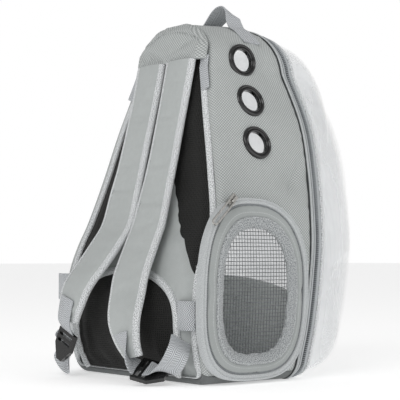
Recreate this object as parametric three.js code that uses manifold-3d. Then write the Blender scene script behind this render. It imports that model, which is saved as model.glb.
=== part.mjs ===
// A backpack for carrying a cat or small dog: a grey fabric body shaped like an egg cut by a leaning back,
// a clear domed front on a zip, a netted side door, three ring eyelets, and padded shoulder straps.
// Millimetres, +Z up. The domed front faces -Y, the wearer's back is +Y, and the netted door is on -X.
// The origin is the middle of the flat base.
import * as THREE from 'three';
import { mergeVertices } from 'three/addons/utils/BufferGeometryUtils.js';
import Module from 'manifold-3d';

const wasm = await Module();
wasm.setup();

// Driving sizes of the body
const bodyHeight = 420;
const bodyWidth = 266;
const baseDepth = 120;
const baseCornerRadius = 20;
const frontFlare = 6;
const panelThickness = 3;
const fit = 0.3;
const slack = 0.8;

// Driving sizes of the back
const borderWidth = 18;
const borderFootHeight = 8;
const boardThickness = 3;
const meshRise = 3.5;
const surroundRise = 6;
const surroundHeight = 262;
const surroundHalfWidth = 112;
const lumbarHalfWidth = 92;
const lumbarHeight = 122;
const lumbarFoot = 10;
const lumbarRise = 8;
const backBindingWidth = 7;
const backBindingRise = 2.6;
const lumbarBindingWidth = 7;

// Driving sizes of the front: piping, zip and clear bubble
const pipingSize = 4.5;
const tapeWidth = 5.5;
const tapeThickness = 2;
const coilWidth = 4.5;
const coilThickness = 3;
const flangeWidth = 4;
const bubbleInset = 6;
const bubbleDepth = 112;
const bubbleWall = 2;
const bubbleCentreHeight = 172;

// Driving sizes of the side door
const doorWidth = 156;
const doorHeight = 202;
const doorCentreY = 8;
const doorCentreZ = 105;
const doorTapeWidth = 7;
const doorTapeRise = 11;
const doorCoilWidth = 2;
const doorPanelRise = 9;
const windowWidth = 94;
const windowHeight = 138;
const windowCentreY = 4;
const windowCentreZ = 102;
const windowBindingWidth = 11;
const windowBindingRise = 2;
const netThickness = 1;
const netCord = 2;
const netColumns = 5;
const netRows = 6;
const netMargin = 5;

// Driving sizes of the door's zip slider and its pull
const sliderLength = 16;
const sliderWidth = 8;
const sliderThickness = 3;
const bridgeLength = 10;
const bridgeWidth = 2;
const bridgeHole = 3.2;
const bridgeWall = 1.4;
const pullLength = 46;
const pullWidth = 8;
const pullThickness = 1.6;
const pullWire = 2;

// Driving sizes of the eyelets
const eyeletDiameter = 40;
const eyeletHoleDiameter = 27;
const eyeletSeat = 2.9;
const eyeletRise = 2.6;
const eyeletNeckWall = 1.4;

// Driving sizes of the yoke, shoulder straps and handle
const yokeDrop = 50;
const yokeHalfWidth = 65;
const yokeThickness = 14;
const strapWidth = 60;
const strapThickness = 12;
const strapBindingWidth = 8;
const strapSpread = 58;
const strapStandOff = 46;
const leftStrapDrop = 339;
const rightStrapDrop = 304;
const webbingWidth = 25;
const webbingThickness = 1.6;
const tabLength = 24;
const tabDrop = 13;
const buckleLength = 36;
const buckleWidth = 34;
const buckleThickness = 5;
const buckleBar = 4;
const sideBandWidth = 32;
const patchWidth = 13.5;
const patchHeight = 37.4;
const patchThickness = 1.2;
const handleSpan = 52;
const handleRise = 26;
const handleCentreY = -46;

// Driving sizes of the soft panel that stands inside the front opening and shows through the net
const apronHeight = 118;
const apronSag = 19;
const apronThickness = 6;
const apronSetBack = 12;

// Outline seen from the front: height as a share of bodyHeight, half width as a share of half of bodyWidth
const outlineRows = [
  { height: 0.0, halfWidth: 0.947 },
  { height: 0.143, halfWidth: 0.977 },
  { height: 0.286, halfWidth: 1.0 },
  { height: 0.357, halfWidth: 1.0 },
  { height: 0.43, halfWidth: 0.977 },
  { height: 0.57, halfWidth: 0.835 },
  { height: 0.714, halfWidth: 0.692 },
  { height: 0.8571, halfWidth: 0.534 },
];
const levelCount = 14;
const capStart = 12 / levelCount;
const capRoundness = 2.4;

// Outline seen from the side: how far the back stands behind the base's rear edge, and the front seam
// before its front edge, as shares of baseDepth
const sideRows = [
  { height: 0.0, back: 0.0, front: 0.0 },
  { height: 0.07, back: 0.065, front: 0.055 },
  { height: 0.14, back: 0.1, front: 0.108 },
  { height: 0.24, back: 0.1, front: 0.15 },
  { height: 0.29, back: 0.075, front: 0.165 },
  { height: 0.36, back: -0.017, front: 0.19 },
  { height: 0.43, back: -0.125, front: 0.213 },
  { height: 0.57, back: -0.23, front: 0.328 },
  { height: 0.71, back: -0.31, front: 0.38 },
  { height: 0.86, back: -0.418, front: 0.3 },
  { height: 1.0, back: -0.51, front: 0.19 },
];

// Half width of the grey surround of the lumbar pad, as a share of surroundHalfWidth
const surroundRows = [
  { height: 0.0, halfWidth: 0.93 },
  { height: 0.38, halfWidth: 1.0 },
  { height: 0.46, halfWidth: 0.98 },
  { height: 0.57, halfWidth: 0.79 },
  { height: 0.67, halfWidth: 0.62 },
  { height: 0.77, halfWidth: 0.5 },
  { height: 0.88, halfWidth: 0.41 },
  { height: 0.96, halfWidth: 0.26 },
  { height: 1.0, halfWidth: 0.1 },
];

// Half width of the lumbar pad, as a share of lumbarHalfWidth
const lumbarRows = [
  { height: 0.0, halfWidth: 0.89 },
  { height: 0.18, halfWidth: 0.98 },
  { height: 0.38, halfWidth: 1.0 },
  { height: 0.68, halfWidth: 0.97 },
  { height: 0.84, halfWidth: 0.8 },
  { height: 0.95, halfWidth: 0.5 },
  { height: 1.0, halfWidth: 0.22 },
];

// Shoulder straps from the yoke down: drop as a share of the strap's own drop, spread from the middle as a
// share of strapSpread, stand-off from the back as a share of strapStandOff, width as a share of strapWidth
const strapRows = [
  { drop: 0.0, spread: 0.48, standOff: 0.26, width: 0.85 },
  { drop: 0.2, spread: 0.48, standOff: 0.28, width: 0.84 },
  { drop: 0.4, spread: 0.49, standOff: 0.4, width: 0.87 },
  { drop: 0.52, spread: 0.5, standOff: 0.48, width: 0.95 },
  { drop: 0.66, spread: 0.54, standOff: 0.52, width: 1.0 },
  { drop: 0.78, spread: 0.66, standOff: 0.7, width: 1.0 },
  { drop: 0.88, spread: 0.82, standOff: 0.95, width: 0.9 },
  { drop: 0.95, spread: 0.94, standOff: 1.0, width: 0.72 },
  { drop: 1.0, spread: 1.03, standOff: 0.97, width: 0.52 },
];

const colours = {
  grey: { color: 0xa9acab, roughness: 0.9, metalness: 0 },
  dark: { color: 0x3c3c3c, roughness: 0.9, metalness: 0 },
  binding: { color: 0xc9cccc, roughness: 0.85, metalness: 0 },
  webbing: { color: 0xb9bcbf, roughness: 0.85, metalness: 0 },
  mesh: { color: 0x1c1c1b, roughness: 0.95, metalness: 0 },
  net: { color: 0x6f7274, roughness: 0.8, metalness: 0 },
  plastic: { color: 0x141414, roughness: 0.35, metalness: 0 },
  zip: { color: 0x6d6f70, roughness: 0.6, metalness: 0 },
  clear: { color: 0xf2f5f6, roughness: 0.05, metalness: 0 },
  nickel: { color: 0xb8b8b4, roughness: 0.3, metalness: 1 },
};

// A smooth reading of one column of a table at a share along it
function readTable(rows, key, column, at) {
  let i = 0;
  while (i < rows.length - 2 && at > rows[i + 1][key]) i += 1;
  const slope = (k) => {
    const low = rows[Math.max(k - 1, 0)];
    const high = rows[Math.min(k + 1, rows.length - 1)];
    return (high[column] - low[column]) / (high[key] - low[key]);
  };
  const [from, to] = [rows[i], rows[i + 1]];
  const span = to[key] - from[key];
  const t = THREE.MathUtils.clamp((at - from[key]) / span, 0, 1);
  const rise = to[column] - from[column];
  const hermite = t * t * (3 - 2 * t) * rise;
  const bend = t * (1 - t) * (1 - t) * slope(i) * span - t * t * (1 - t) * slope(i + 1) * span;
  return from[column] + hermite + bend;
}

function heightShare(z) {
  return THREE.MathUtils.clamp(z / bodyHeight, 0, 1);
}

// The back is straight between levels, so that every piece on it bends along the same lines
const levelStep = bodyHeight / levelCount;

function backAt(z) {
  const smooth = (level) => {
    const share = heightShare(level * levelStep);
    return baseDepth * (0.5 + readTable(sideRows, 'height', 'back', share));
  };
  const level = z / levelStep;
  const below = Math.floor(level);
  return THREE.MathUtils.lerp(smooth(below), smooth(below + 1), level - below);
}

// Heights from one to another with every level in between
const levelClearance = 2;

function levels(from, to) {
  const first = Math.ceil((from + levelClearance) / levelStep);
  const last = Math.floor((to - levelClearance) / levelStep);
  const between = Array.from({ length: Math.max(0, last - first + 1) }, (_, i) => (first + i) * levelStep);
  return [from, ...between, to];
}

function frontAt(z) {
  return -baseDepth * (0.5 + readTable(sideRows, 'height', 'front', heightShare(z)));
}

function halfWidthAt(z) {
  const share = heightShare(z);
  const width = readTable(outlineRows, 'height', 'halfWidth', Math.min(share, capStart));
  const cap = Math.max(0, (share - capStart) / (1 - capStart));
  return (bodyWidth / 2) * width * Math.sqrt(Math.max(0, 1 - cap ** capRoundness));
}

// One closed body from a list of closed loops of points. Looped bodies join the last loop to the first.
function loft(loops, looped = false) {
  const size = loops[0].length;
  const points = loops.flat();
  const faces = [];
  const count = looped ? loops.length : loops.length - 1;
  for (let i = 0; i < count; i += 1) {
    const next = ((i + 1) % loops.length) * size;
    for (let j = 0; j < size; j += 1) {
      const [a, b] = [i * size + j, i * size + ((j + 1) % size)];
      const [c, d] = [next + ((j + 1) % size), next + j];
      faces.push([a, b, c], [a, c, d]);
    }
  }
  if (!looped) {
    faces.push(...capFaces(loops[0], 0, true));
    faces.push(...capFaces(loops[loops.length - 1], (loops.length - 1) * size, false));
  }
  return closedGeometry(points, faces);
}

// Triangles that close one loop, found in the loop's own plane
function capFaces(loop, start, reversed) {
  const normal = new THREE.Vector3();
  loop.forEach((p, i) => {
    const q = loop[(i + 1) % loop.length];
    normal.x += (p.y - q.y) * (p.z + q.z);
    normal.y += (p.z - q.z) * (p.x + q.x);
    normal.z += (p.x - q.x) * (p.y + q.y);
  });
  normal.normalize();
  const across = new THREE.Vector3(1, 0, 0);
  if (Math.abs(normal.x) > 0.8) across.set(0, 1, 0);
  const u = new THREE.Vector3().crossVectors(normal, across).normalize();
  const v = new THREE.Vector3().crossVectors(normal, u);
  const flat = loop.map((p) => new THREE.Vector2(p.dot(u), p.dot(v)));
  const turn = THREE.ShapeUtils.isClockWise(flat);
  const faces = THREE.ShapeUtils.triangulateShape(flat, []);
  return faces.map(([a, b, c]) => {
    const flip = reversed !== turn;
    return flip ? [start + c, start + b, start + a] : [start + a, start + b, start + c];
  });
}

function signedVolume(points, faces) {
  let sum = 0;
  faces.forEach(([a, b, c]) => {
    sum += points[a].dot(new THREE.Vector3().crossVectors(points[b], points[c]));
  });
  return sum / 6;
}

function closedGeometry(points, faces) {
  const outward = signedVolume(points, faces) > 0;
  const geometry = new THREE.BufferGeometry();
  const places = points.flatMap((p) => [p.x, p.y, p.z]);
  geometry.setAttribute('position', new THREE.Float32BufferAttribute(places, 3));
  geometry.setIndex(faces.flatMap(([a, b, c]) => (outward ? [a, b, c] : [c, b, a])));
  return mergeVertices(geometry, 1e-4);
}

function toManifold(geometry) {
  const bare = geometry.clone();
  bare.deleteAttribute('normal');
  bare.deleteAttribute('uv');
  const merged = mergeVertices(bare, 1e-4);
  const vertProperties = new Float32Array(merged.attributes.position.array);
  const triVerts = new Uint32Array(merged.index.array);
  return new wasm.Manifold(new wasm.Mesh({ numProp: 3, vertProperties, triVerts }));
}

function fromManifold(manifold) {
  const mesh = manifold.getMesh();
  const geometry = new THREE.BufferGeometry();
  geometry.setAttribute('position', new THREE.BufferAttribute(mesh.vertProperties, 3));
  geometry.setIndex(new THREE.BufferAttribute(mesh.triVerts, 1));
  return geometry;
}

function cut(geometry, ...cutters) {
  let manifold = toManifold(geometry);
  cutters.forEach((cutter) => {
    manifold = manifold.subtract(toManifold(cutter));
  });
  return fromManifold(manifold);
}

function keep(geometry, within) {
  return fromManifold(toManifold(geometry).intersect(toManifold(within)));
}

const group = new THREE.Group();

function add(name, geometry, colour) {
  geometry.computeVertexNormals();
  const material = new THREE.MeshStandardMaterial(colours[colour]);
  const mesh = new THREE.Mesh(geometry, material);
  mesh.name = name;
  group.add(mesh);
  return mesh;
}

// The body's outline, point by point from the middle of the base round by +X to the top and back by -X
const baseSteps = 3;
const cornerSteps = 3;
const sideSteps = 12;
const capSteps = 8;
const halfSteps = baseSteps + cornerSteps + sideSteps + capSteps;
const ringSteps = 2 * halfSteps;
const cornerStart = baseSteps;

// inset moves the sides and top inwards, foot is the height of the bottom line
function outlineHalf(inset, foot) {
  const points = [];
  const radius = Math.max(2, baseCornerRadius - inset);
  const cornerX = halfWidthAt(baseCornerRadius) - inset - radius;
  for (let i = 0; i < baseSteps; i += 1) points.push({ x: (cornerX * i) / baseSteps, z: foot });
  for (let i = 0; i < cornerSteps; i += 1) {
    const turn = (Math.PI / 2) * (i / cornerSteps);
    points.push({ x: cornerX + radius * Math.sin(turn), z: foot + radius * (1 - Math.cos(turn)) });
  }
  const capZ = capStart * bodyHeight;
  for (let i = 0; i < sideSteps; i += 1) {
    const z = Math.max(foot + radius, i * levelStep);
    points.push({ x: halfWidthAt(z) - inset, z });
  }
  const capHalfWidth = halfWidthAt(capZ) - inset;
  const capHeight = bodyHeight - inset - capZ;
  for (let i = 0; i <= capSteps; i += 1) {
    const turn = (Math.PI / 2) * (i / capSteps);
    const rise = Math.sin(turn);
    const x = i === capSteps ? 0 : capHalfWidth * Math.sqrt(1 - rise ** capRoundness);
    points.push({ x, z: capZ + capHeight * rise });
  }
  return points;
}

function outline(inset, foot = Math.max(inset, 0)) {
  const half = outlineHalf(inset, foot);
  const mirrored = half.slice(1, -1).reverse().map(({ x, z }) => ({ x: -x, z }));
  return [...half, ...mirrored];
}

// A point of the body's skin: depth is 0 at the back edge and 1 at the front seam, shift moves it along Y
function skinPoint({ x, z }, depth, shift = 0) {
  const flare = (frontFlare * depth * x) / (Math.abs(x) + baseCornerRadius);
  const y = THREE.MathUtils.lerp(backAt(z), frontAt(z), depth);
  return new THREE.Vector3(x + flare, y + shift, z);
}

// A band that follows the outline. Each row of the section has an inset, a depth, a shift and a foot height.
function bandLoops(section) {
  const rings = section.map((row) => outline(row.inset, row.foot));
  return Array.from({ length: ringSteps }, (_, i) =>
    section.map((row, j) => skinPoint(rings[j][i], row.depth, row.shift ?? 0)));
}

function shiftLoop(loop, towards, distance) {
  return loop.map((p, i) => {
    const way = towards[i].clone().sub(p);
    return p.clone().addScaledVector(way.normalize(), distance);
  });
}

// Some of a band's loops, with each cut end drawn back by the fit
function bandPart(loops, from, to) {
  const part = [];
  for (let i = from; i <= to; i += 1) part.push(loops[i % loops.length]);
  const last = part.length - 1;
  part[0] = shiftLoop(part[0], part[1], fit);
  part[last] = shiftLoop(part[last], part[last - 1], fit);
  return part;
}

// Points on the left side, the back and inside the strap, at a distance out from the surface
function sidePoint(y, z, out) {
  const depth = THREE.MathUtils.clamp((backAt(z) - y) / (backAt(z) - frontAt(z)), 0, 1);
  const step = 2;
  const slope = (halfWidthAt(z + step) - halfWidthAt(z - step)) / (2 * step);
  const length = Math.hypot(1, slope);
  const width = halfWidthAt(z);
  const flare = (frontFlare * depth * width) / (width + baseCornerRadius);
  return new THREE.Vector3(-(width + flare + out / length), y, z - (slope * out) / length);
}

function backPoint(x, z, out) {
  return new THREE.Vector3(x, backAt(z) + out, z);
}

// Body panels: one section runs from the front seam to the back edge, turns, and ends in the back border
const wall = panelThickness;
const sideSwell = 1.5;
const edgeRounding = 5;
const bodySection = [
  { inset: 0, depth: 1 },
  { inset: -sideSwell, depth: 0.55, foot: 0 },
  { inset: 0, depth: 0.05 },
  { inset: 0.32 * edgeRounding, depth: 0.008 },
  { inset: edgeRounding, depth: 0, foot: 0.5 * edgeRounding },
  { inset: borderWidth, depth: 0, foot: borderFootHeight },
  { inset: borderWidth, depth: 0, shift: -wall, foot: borderFootHeight },
  { inset: 2 * wall, depth: 0, shift: -wall, foot: wall + 0.5 },
  { inset: wall, depth: 0.05 },
  { inset: wall - sideSwell, depth: 0.55, foot: wall },
  { inset: wall, depth: 1 },
].map((row) => ({ foot: Math.max(row.inset, 0), ...row }));
const bodyLoops = bandLoops(bodySection);

// The door's outline on the left side: nearly elliptical at the top, squarer at the bottom
const doorTopRoundness = 2.5;
const doorBottomRoundness = 3.1;
const doorSteps = 36;

function doorLoop(halfWidth, halfHeight, centreY, centreZ) {
  return Array.from({ length: doorSteps }, (_, i) => {
    const turn = (2 * Math.PI * i) / doorSteps;
    const [c, s] = [Math.cos(turn), Math.sin(turn)];
    const power = 2 / (s >= 0 ? doorTopRoundness : doorBottomRoundness);
    const y = centreY + halfWidth * Math.sign(c) * Math.abs(c) ** power;
    return { y, z: centreZ + halfHeight * Math.sign(s) * Math.abs(s) ** power };
  });
}

const doorEdge = {
  halfWidth: doorWidth / 2,
  halfHeight: doorHeight / 2,
  y: doorCentreY,
  z: doorCentreZ,
};
const windowEdge = {
  halfWidth: windowWidth / 2,
  halfHeight: windowHeight / 2,
  y: windowCentreY,
  z: windowCentreZ,
};

// A ring on the side panel: each row of its section has an inset from an edge and a height above the panel
function sideRing(section) {
  const rings = section.map(({ edge, inset }) =>
    doorLoop(edge.halfWidth - inset, edge.halfHeight - inset, edge.y, edge.z));
  const loops = Array.from({ length: doorSteps }, (_, i) =>
    section.map((row, j) => sidePoint(rings[j][i].y, rings[j][i].z, row.out)));
  return loft(loops, true);
}

function sidePrism(edge, inset, inner, outer) {
  const loop = doorLoop(edge.halfWidth - inset, edge.halfHeight - inset, edge.y, edge.z);
  const loops = [inner, outer].map((out) => loop.map(({ y, z }) => sidePoint(y, z, out)));
  return loft(loops);
}

// Eyelets: places on the left side as shares of baseDepth before the origin and of bodyHeight
const eyeletPlaces = [
  { name: 'eyelet_top', y: -0.29, height: 0.882 },
  { name: 'eyelet_middle', y: -0.29, height: 0.765 },
  { name: 'eyelet_bottom', y: -0.25, height: 0.645 },
];
const eyeletSteps = 20;
const cutterReach = 25;

function placeOnSide(geometry, y, z) {
  const seat = sidePoint(y, z, 0);
  const up = sidePoint(y, z + 2, 0).sub(sidePoint(y, z - 2, 0)).normalize();
  const along = sidePoint(y + 2, z, 0).sub(sidePoint(y - 2, z, 0)).normalize();
  const out = new THREE.Vector3().crossVectors(up, along).normalize();
  const across = new THREE.Vector3().crossVectors(out, up);
  return geometry.applyMatrix4(new THREE.Matrix4().makeBasis(across, out, up).setPosition(seat));
}

function eyelet(y, z) {
  const [rim, hole] = [eyeletDiameter / 2, eyeletHoleDiameter / 2];
  const neck = hole + eyeletNeckWall;
  const inner = -panelThickness - 1;
  const profile = [
    [hole, inner],
    [neck, inner],
    [neck, eyeletSeat],
    [rim, eyeletSeat],
    [rim - 1.5, eyeletSeat + 0.6 * eyeletRise],
    [neck + 0.6, eyeletSeat + eyeletRise],
    [hole, eyeletSeat + 0.7 * eyeletRise],
    [hole, inner],
  ].map(([radius, height]) => new THREE.Vector2(radius, height));
  const geometry = new THREE.LatheGeometry(profile, eyeletSteps);
  geometry.deleteAttribute('normal');
  geometry.deleteAttribute('uv');
  const merged = mergeVertices(geometry, 1e-4);
  return placeOnSide(merged, y, z);
}

function eyeletCutter(y, z) {
  const radius = eyeletHoleDiameter / 2 + eyeletNeckWall + fit;
  const cutter = new THREE.CylinderGeometry(radius, radius, 2 * cutterReach, eyeletSteps);
  return placeOnSide(cutter, y, z);
}

const eyelets = eyeletPlaces.map(({ name, y, height }) => ({
  name,
  y: y * baseDepth,
  z: height * bodyHeight,
}));

// Side panels and base
const doorway = sidePrism(windowEdge, -1, -cutterReach, cutterReach);
const leftPanel = loft(bandPart(bodyLoops, halfSteps, ringSteps - cornerStart));
add('side_panel_left', cut(leftPanel, doorway, ...eyelets.map(({ y, z }) => eyeletCutter(y, z))), 'grey');
add('side_panel_right', loft(bandPart(bodyLoops, cornerStart, halfSteps)), 'grey');
add('base_panel', loft(bandPart(bodyLoops, ringSteps - cornerStart, ringSteps + cornerStart)), 'dark');
eyelets.forEach(({ name, y, z }) => add(name, eyelet(y, z), 'plastic'));

// A flat or padded piece on the back: rows run upwards, each a half width, and a section across it
function backPad(heights, halfWidthOf, across) {
  const loops = heights.map((z) => {
    const half = halfWidthOf(z);
    return across(half, z).map(({ x, out }) => backPoint(x, z, out));
  });
  return loft(loops);
}

function spread(from, to, steps) {
  return Array.from({ length: steps + 1 }, (_, i) => THREE.MathUtils.lerp(from, to, i / steps));
}

// Half width available on the back at a height, measured in from the outline
function insetWidth(z, inset) {
  const top = bodyHeight - inset;
  const capZ = capStart * bodyHeight;
  if (z <= capZ) return halfWidthAt(z) - inset;
  const rise = Math.min(1, (z - capZ) / (top - capZ));
  return (halfWidthAt(capZ) - inset) * Math.sqrt(Math.max(0, 1 - rise ** capRoundness));
}

function slab(inner, outer) {
  return (half) => [
    { x: -half, out: inner },
    { x: half, out: inner },
    { x: half, out: outer },
    { x: -half, out: outer },
  ];
}

// A padded section: a flat rim under the binding, then full from edgeRun inwards
function padded({ inner, edge, outer, rim, edgeRun, fadeAt }) {
  return (half, z) => {
    const rise = edge + (outer - edge) * fadeAt(z);
    const shoulder = Math.max(half * 0.3, half - edgeRun);
    const rimX = Math.max(half * 0.6, half - rim);
    return [
      { x: -half, out: inner },
      { x: half, out: inner },
      { x: half, out: edge },
      { x: rimX, out: edge },
      { x: shoulder, out: rise },
      { x: 0, out: rise + padCrown * fadeAt(z) },
      { x: -shoulder, out: rise },
      { x: -rimX, out: edge },
      { x: -half, out: edge },
    ];
  };
}

// How full a pad is at a height: nothing up to its rim, full after the run
function fade(from, rim, run) {
  return (z) => THREE.MathUtils.smoothstep(Math.abs(z - from), rim, rim + run);
}

const boardInset = 2 * panelThickness + slack;
const boardOuter = -panelThickness - slack;
const padCrown = 0.8;
const boardCorner = baseCornerRadius - boardInset;
const boardHalf = (z) => {
  const below = Math.max(0, boardInset + boardCorner - z);
  const rounding = boardCorner - Math.sqrt(Math.max(0, boardCorner ** 2 - below ** 2));
  return insetWidth(Math.max(z, baseCornerRadius), boardInset + slack) - rounding;
};
const boardHeights = [
  ...spread(boardInset, baseCornerRadius - levelClearance, 3),
  ...levels(baseCornerRadius, bodyHeight - boardInset),
];
const boardAcross = slab(boardOuter - boardThickness, boardOuter);
add('back_board', backPad(boardHeights, boardHalf, boardAcross), 'dark');

// Grey surround of the lumbar pad, and the pad on it
const padInner = boardOuter + fit;
const padEdge = -fit;
const padRim = backBindingWidth * 0.9;
const padGap = 1.2;
const surroundFoot = borderFootHeight + padGap;
const surroundHalf = (z) => {
  const share = (z - surroundFoot) / (surroundHeight - surroundFoot);
  const free = insetWidth(z, borderWidth + padGap);
  return Math.min(free, surroundHalfWidth * readTable(surroundRows, 'height', 'halfWidth', share));
};
const surroundHeights = levels(surroundFoot, surroundHeight);
surroundHeights.splice(1, 0, surroundFoot + padRim);
add('lumbar_surround', backPad(surroundHeights, surroundHalf, padded({
  inner: padInner,
  edge: padEdge,
  outer: surroundRise,
  rim: padRim,
  edgeRun: 14,
  fadeAt: fade(surroundFoot, padRim, 8),
})), 'grey');

const lumbarInner = surroundRise + padCrown + fit;
const lumbarRim = 2;
const lumbarBindingRise = 2.5;
const lumbarHalf = (z) => lumbarHalfWidth * readTable(lumbarRows, 'height', 'halfWidth',
  (z - lumbarFoot) / (lumbarHeight - lumbarFoot));
const lumbarHeights = levels(lumbarFoot, lumbarHeight);
add('lumbar_pad', backPad(lumbarHeights, (z) => lumbarHalf(z) - fit, padded({
  inner: lumbarInner,
  edge: lumbarInner + lumbarRim,
  outer: lumbarInner + lumbarRise,
  rim: lumbarBindingWidth + fit,
  edgeRun: 3 * lumbarRise,
  fadeAt: () => 1,
})), 'mesh');

// Light binding along the lumbar pad's edge, up one side, over and down the other
const lumbarEdge = [
  ...lumbarHeights.map((z) => ({ x: -lumbarHalf(z), z })),
  ...lumbarHeights.map((z) => ({ x: lumbarHalf(z), z })).reverse(),
];

function bindingAlong(path, width, inner, outer) {
  const loops = path.map((p, i) => {
    const [before, after] = [path[Math.max(i - 1, 0)], path[Math.min(i + 1, path.length - 1)]];
    const run = new THREE.Vector2(after.x - before.x, after.z - before.z).normalize();
    const at = (side, out) => backPoint(p.x - run.y * side, p.z + run.x * side, out);
    const shoulder = outer - 0.4;
    return [at(0, inner), at(width, inner), at(width, shoulder), at(width / 2, outer), at(0, shoulder)];
  });
  return loft(loops);
}

const lumbarSeat = lumbarInner + lumbarRim;
add('lumbar_binding', bindingAlong(lumbarEdge, lumbarBindingWidth, lumbarSeat + fit,
  lumbarSeat + lumbarBindingRise), 'binding');

// Upper mesh pad: fills the border down to the surround, which is cut out of it
const meshFoot = 95;
const meshTop = bodyHeight - borderWidth - padGap;
const meshTopRows = [8, 1].map((below) => meshTop - below);
const meshHeights = [...levels(meshFoot, meshTop - 14), ...meshTopRows];
const meshHalf = (z) => insetWidth(z, borderWidth + padGap);
const surroundGap = 1;
const surroundCutter = backPad(levels(surroundFoot, surroundHeight + surroundGap),
  (z) => surroundHalf(Math.min(z, surroundHeight)) + surroundGap, slab(-cutterReach, cutterReach));
const meshPad = backPad(meshHeights, meshHalf, padded({
  inner: padInner,
  edge: padEdge,
  outer: meshRise,
  rim: padRim,
  edgeRun: 16,
  fadeAt: fade(meshTop, padRim, 8),
}));
add('back_mesh', cut(meshPad, surroundCutter), 'mesh');

// Light binding round the back, on the border's inner edge
const backBindingInset = borderWidth - backBindingWidth / 2 + 1;
const backBindingFoot = borderFootHeight - 2;
const backBindingEdges = [
  { inset: backBindingInset, foot: backBindingFoot },
  { inset: backBindingInset + backBindingWidth, foot: backBindingFoot + 4 },
];
const backBindingSection = [
  { ...backBindingEdges[0], shift: slack },
  { ...backBindingEdges[1], shift: slack },
  { ...backBindingEdges[1], shift: backBindingRise },
  { ...backBindingEdges[0], shift: backBindingRise },
].map((row) => ({ ...row, depth: 0 }));
add('back_binding', loft(bandLoops(backBindingSection), true), 'binding');

// Front bands, each further towards -Y than the one before: piping, tape, coil, tape and the bubble's flange
function frontBand(start, width, inset, thickness, nextInset) {
  return [
    { inset, shift: -start },
    { inset: nextInset, shift: -(start + width) },
    { inset: nextInset + thickness, shift: -(start + width) },
    { inset: inset + thickness, shift: -start },
  ].map((row) => ({ depth: 1, foot: Math.max(row.inset, slack), ...row }));
}

const pipingStart = fit;
const innerTapeStart = pipingStart + pipingSize + fit;
const coilStart = innerTapeStart + tapeWidth + fit;
const outerTapeStart = coilStart + coilWidth + fit;
const flangeStart = outerTapeStart + tapeWidth + fit;
const bubbleStart = flangeStart + flangeWidth + fit;
const zipInset = 2;
const flangeThickness = 3.5;
const bands = {
  seam_piping: [pipingStart, pipingSize, -1.5, pipingSize, -0.5, 'binding'],
  zip_tape_inner: [innerTapeStart, tapeWidth, 0.5, tapeThickness, zipInset, 'grey'],
  zip_coil: [coilStart, coilWidth, zipInset - 0.8, coilThickness, zipInset, 'zip'],
  zip_tape_outer: [outerTapeStart, tapeWidth, zipInset, tapeThickness, zipInset + 1.5, 'grey'],
  bubble_flange: [flangeStart, flangeWidth, zipInset + 1, flangeThickness, bubbleInset - 2, 'binding'],
};
Object.entries(bands).forEach(([name, [start, width, inset, thickness, nextInset, colour]]) => {
  add(name, loft(bandLoops(frontBand(start, width, inset, thickness, nextInset)), true), colour);
});

// Clear bubble: rings of the outline that shrink towards its middle as they go forward, outside then inside
const bubbleTurns = [0, 18, 38, 57, 75];
const bubbleRoundness = 2.3;

function bubbleSurface(inward) {
  const rim = outline(bubbleInset + inward, bubbleInset + inward);
  const centre = skinPoint({ x: 0, z: bubbleCentreHeight }, 1, -bubbleStart);
  const depth = bubbleDepth - inward;
  const rings = bubbleTurns.map((degrees) => {
    const turn = THREE.MathUtils.degToRad(degrees);
    const size = Math.cos(turn) ** (2 / bubbleRoundness);
    const forward = Math.sin(turn) ** (2 / bubbleRoundness);
    return rim.map((p) => {
      const edge = skinPoint(p, 1, -bubbleStart);
      const at = centre.clone().lerp(edge, size);
      at.y -= depth * forward;
      return at;
    });
  });
  const apex = centre.clone();
  apex.y -= depth;
  return { rings, apex };
}

function bubble() {
  const [outer, inner] = [bubbleSurface(0), bubbleSurface(bubbleWall)];
  const loops = [...inner.rings.slice().reverse(), ...outer.rings];
  const points = [...loops.flat(), inner.apex, outer.apex];
  const faces = [];
  for (let k = 0; k < loops.length - 1; k += 1) {
    for (let i = 0; i < ringSteps; i += 1) {
      const next = (i + 1) % ringSteps;
      const [a, b] = [k * ringSteps + i, k * ringSteps + next];
      const [c, d] = [(k + 1) * ringSteps + next, (k + 1) * ringSteps + i];
      faces.push([a, b, c], [a, c, d]);
    }
  }
  const last = (loops.length - 1) * ringSteps;
  const innerApex = loops.length * ringSteps;
  for (let i = 0; i < ringSteps; i += 1) {
    const next = (i + 1) % ringSteps;
    faces.push([innerApex, next, i], [last + i, last + next, innerApex + 1]);
  }
  return closedGeometry(points, faces);
}

add('bubble', bubble(), 'clear');

// Side door: tape, coil, padded panel, binding round the window, and the net behind the panel
const panelInset = doorTapeWidth + doorCoilWidth + 2 * fit;
const doorSeat = 1.5 + fit;
add('door_zip_tape', sideRing([
  { edge: doorEdge, inset: 0, out: doorSeat },
  { edge: doorEdge, inset: 0.5, out: doorTapeRise - 2 },
  { edge: doorEdge, inset: 3, out: doorTapeRise },
  { edge: doorEdge, inset: doorTapeWidth, out: doorTapeRise - 1 },
  { edge: doorEdge, inset: doorTapeWidth, out: doorSeat },
]), 'binding');
add('door_zip_coil', sideRing([
  { edge: doorEdge, inset: doorTapeWidth + fit, out: doorSeat },
  { edge: doorEdge, inset: doorTapeWidth + fit, out: doorTapeRise - 2 },
  { edge: doorEdge, inset: doorTapeWidth + doorCoilWidth, out: doorTapeRise - 2 },
  { edge: doorEdge, inset: doorTapeWidth + doorCoilWidth, out: doorSeat },
]), 'dark');
const netSeat = doorSeat + netThickness + fit;
const windowRim = doorPanelRise - 1.5;
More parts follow.
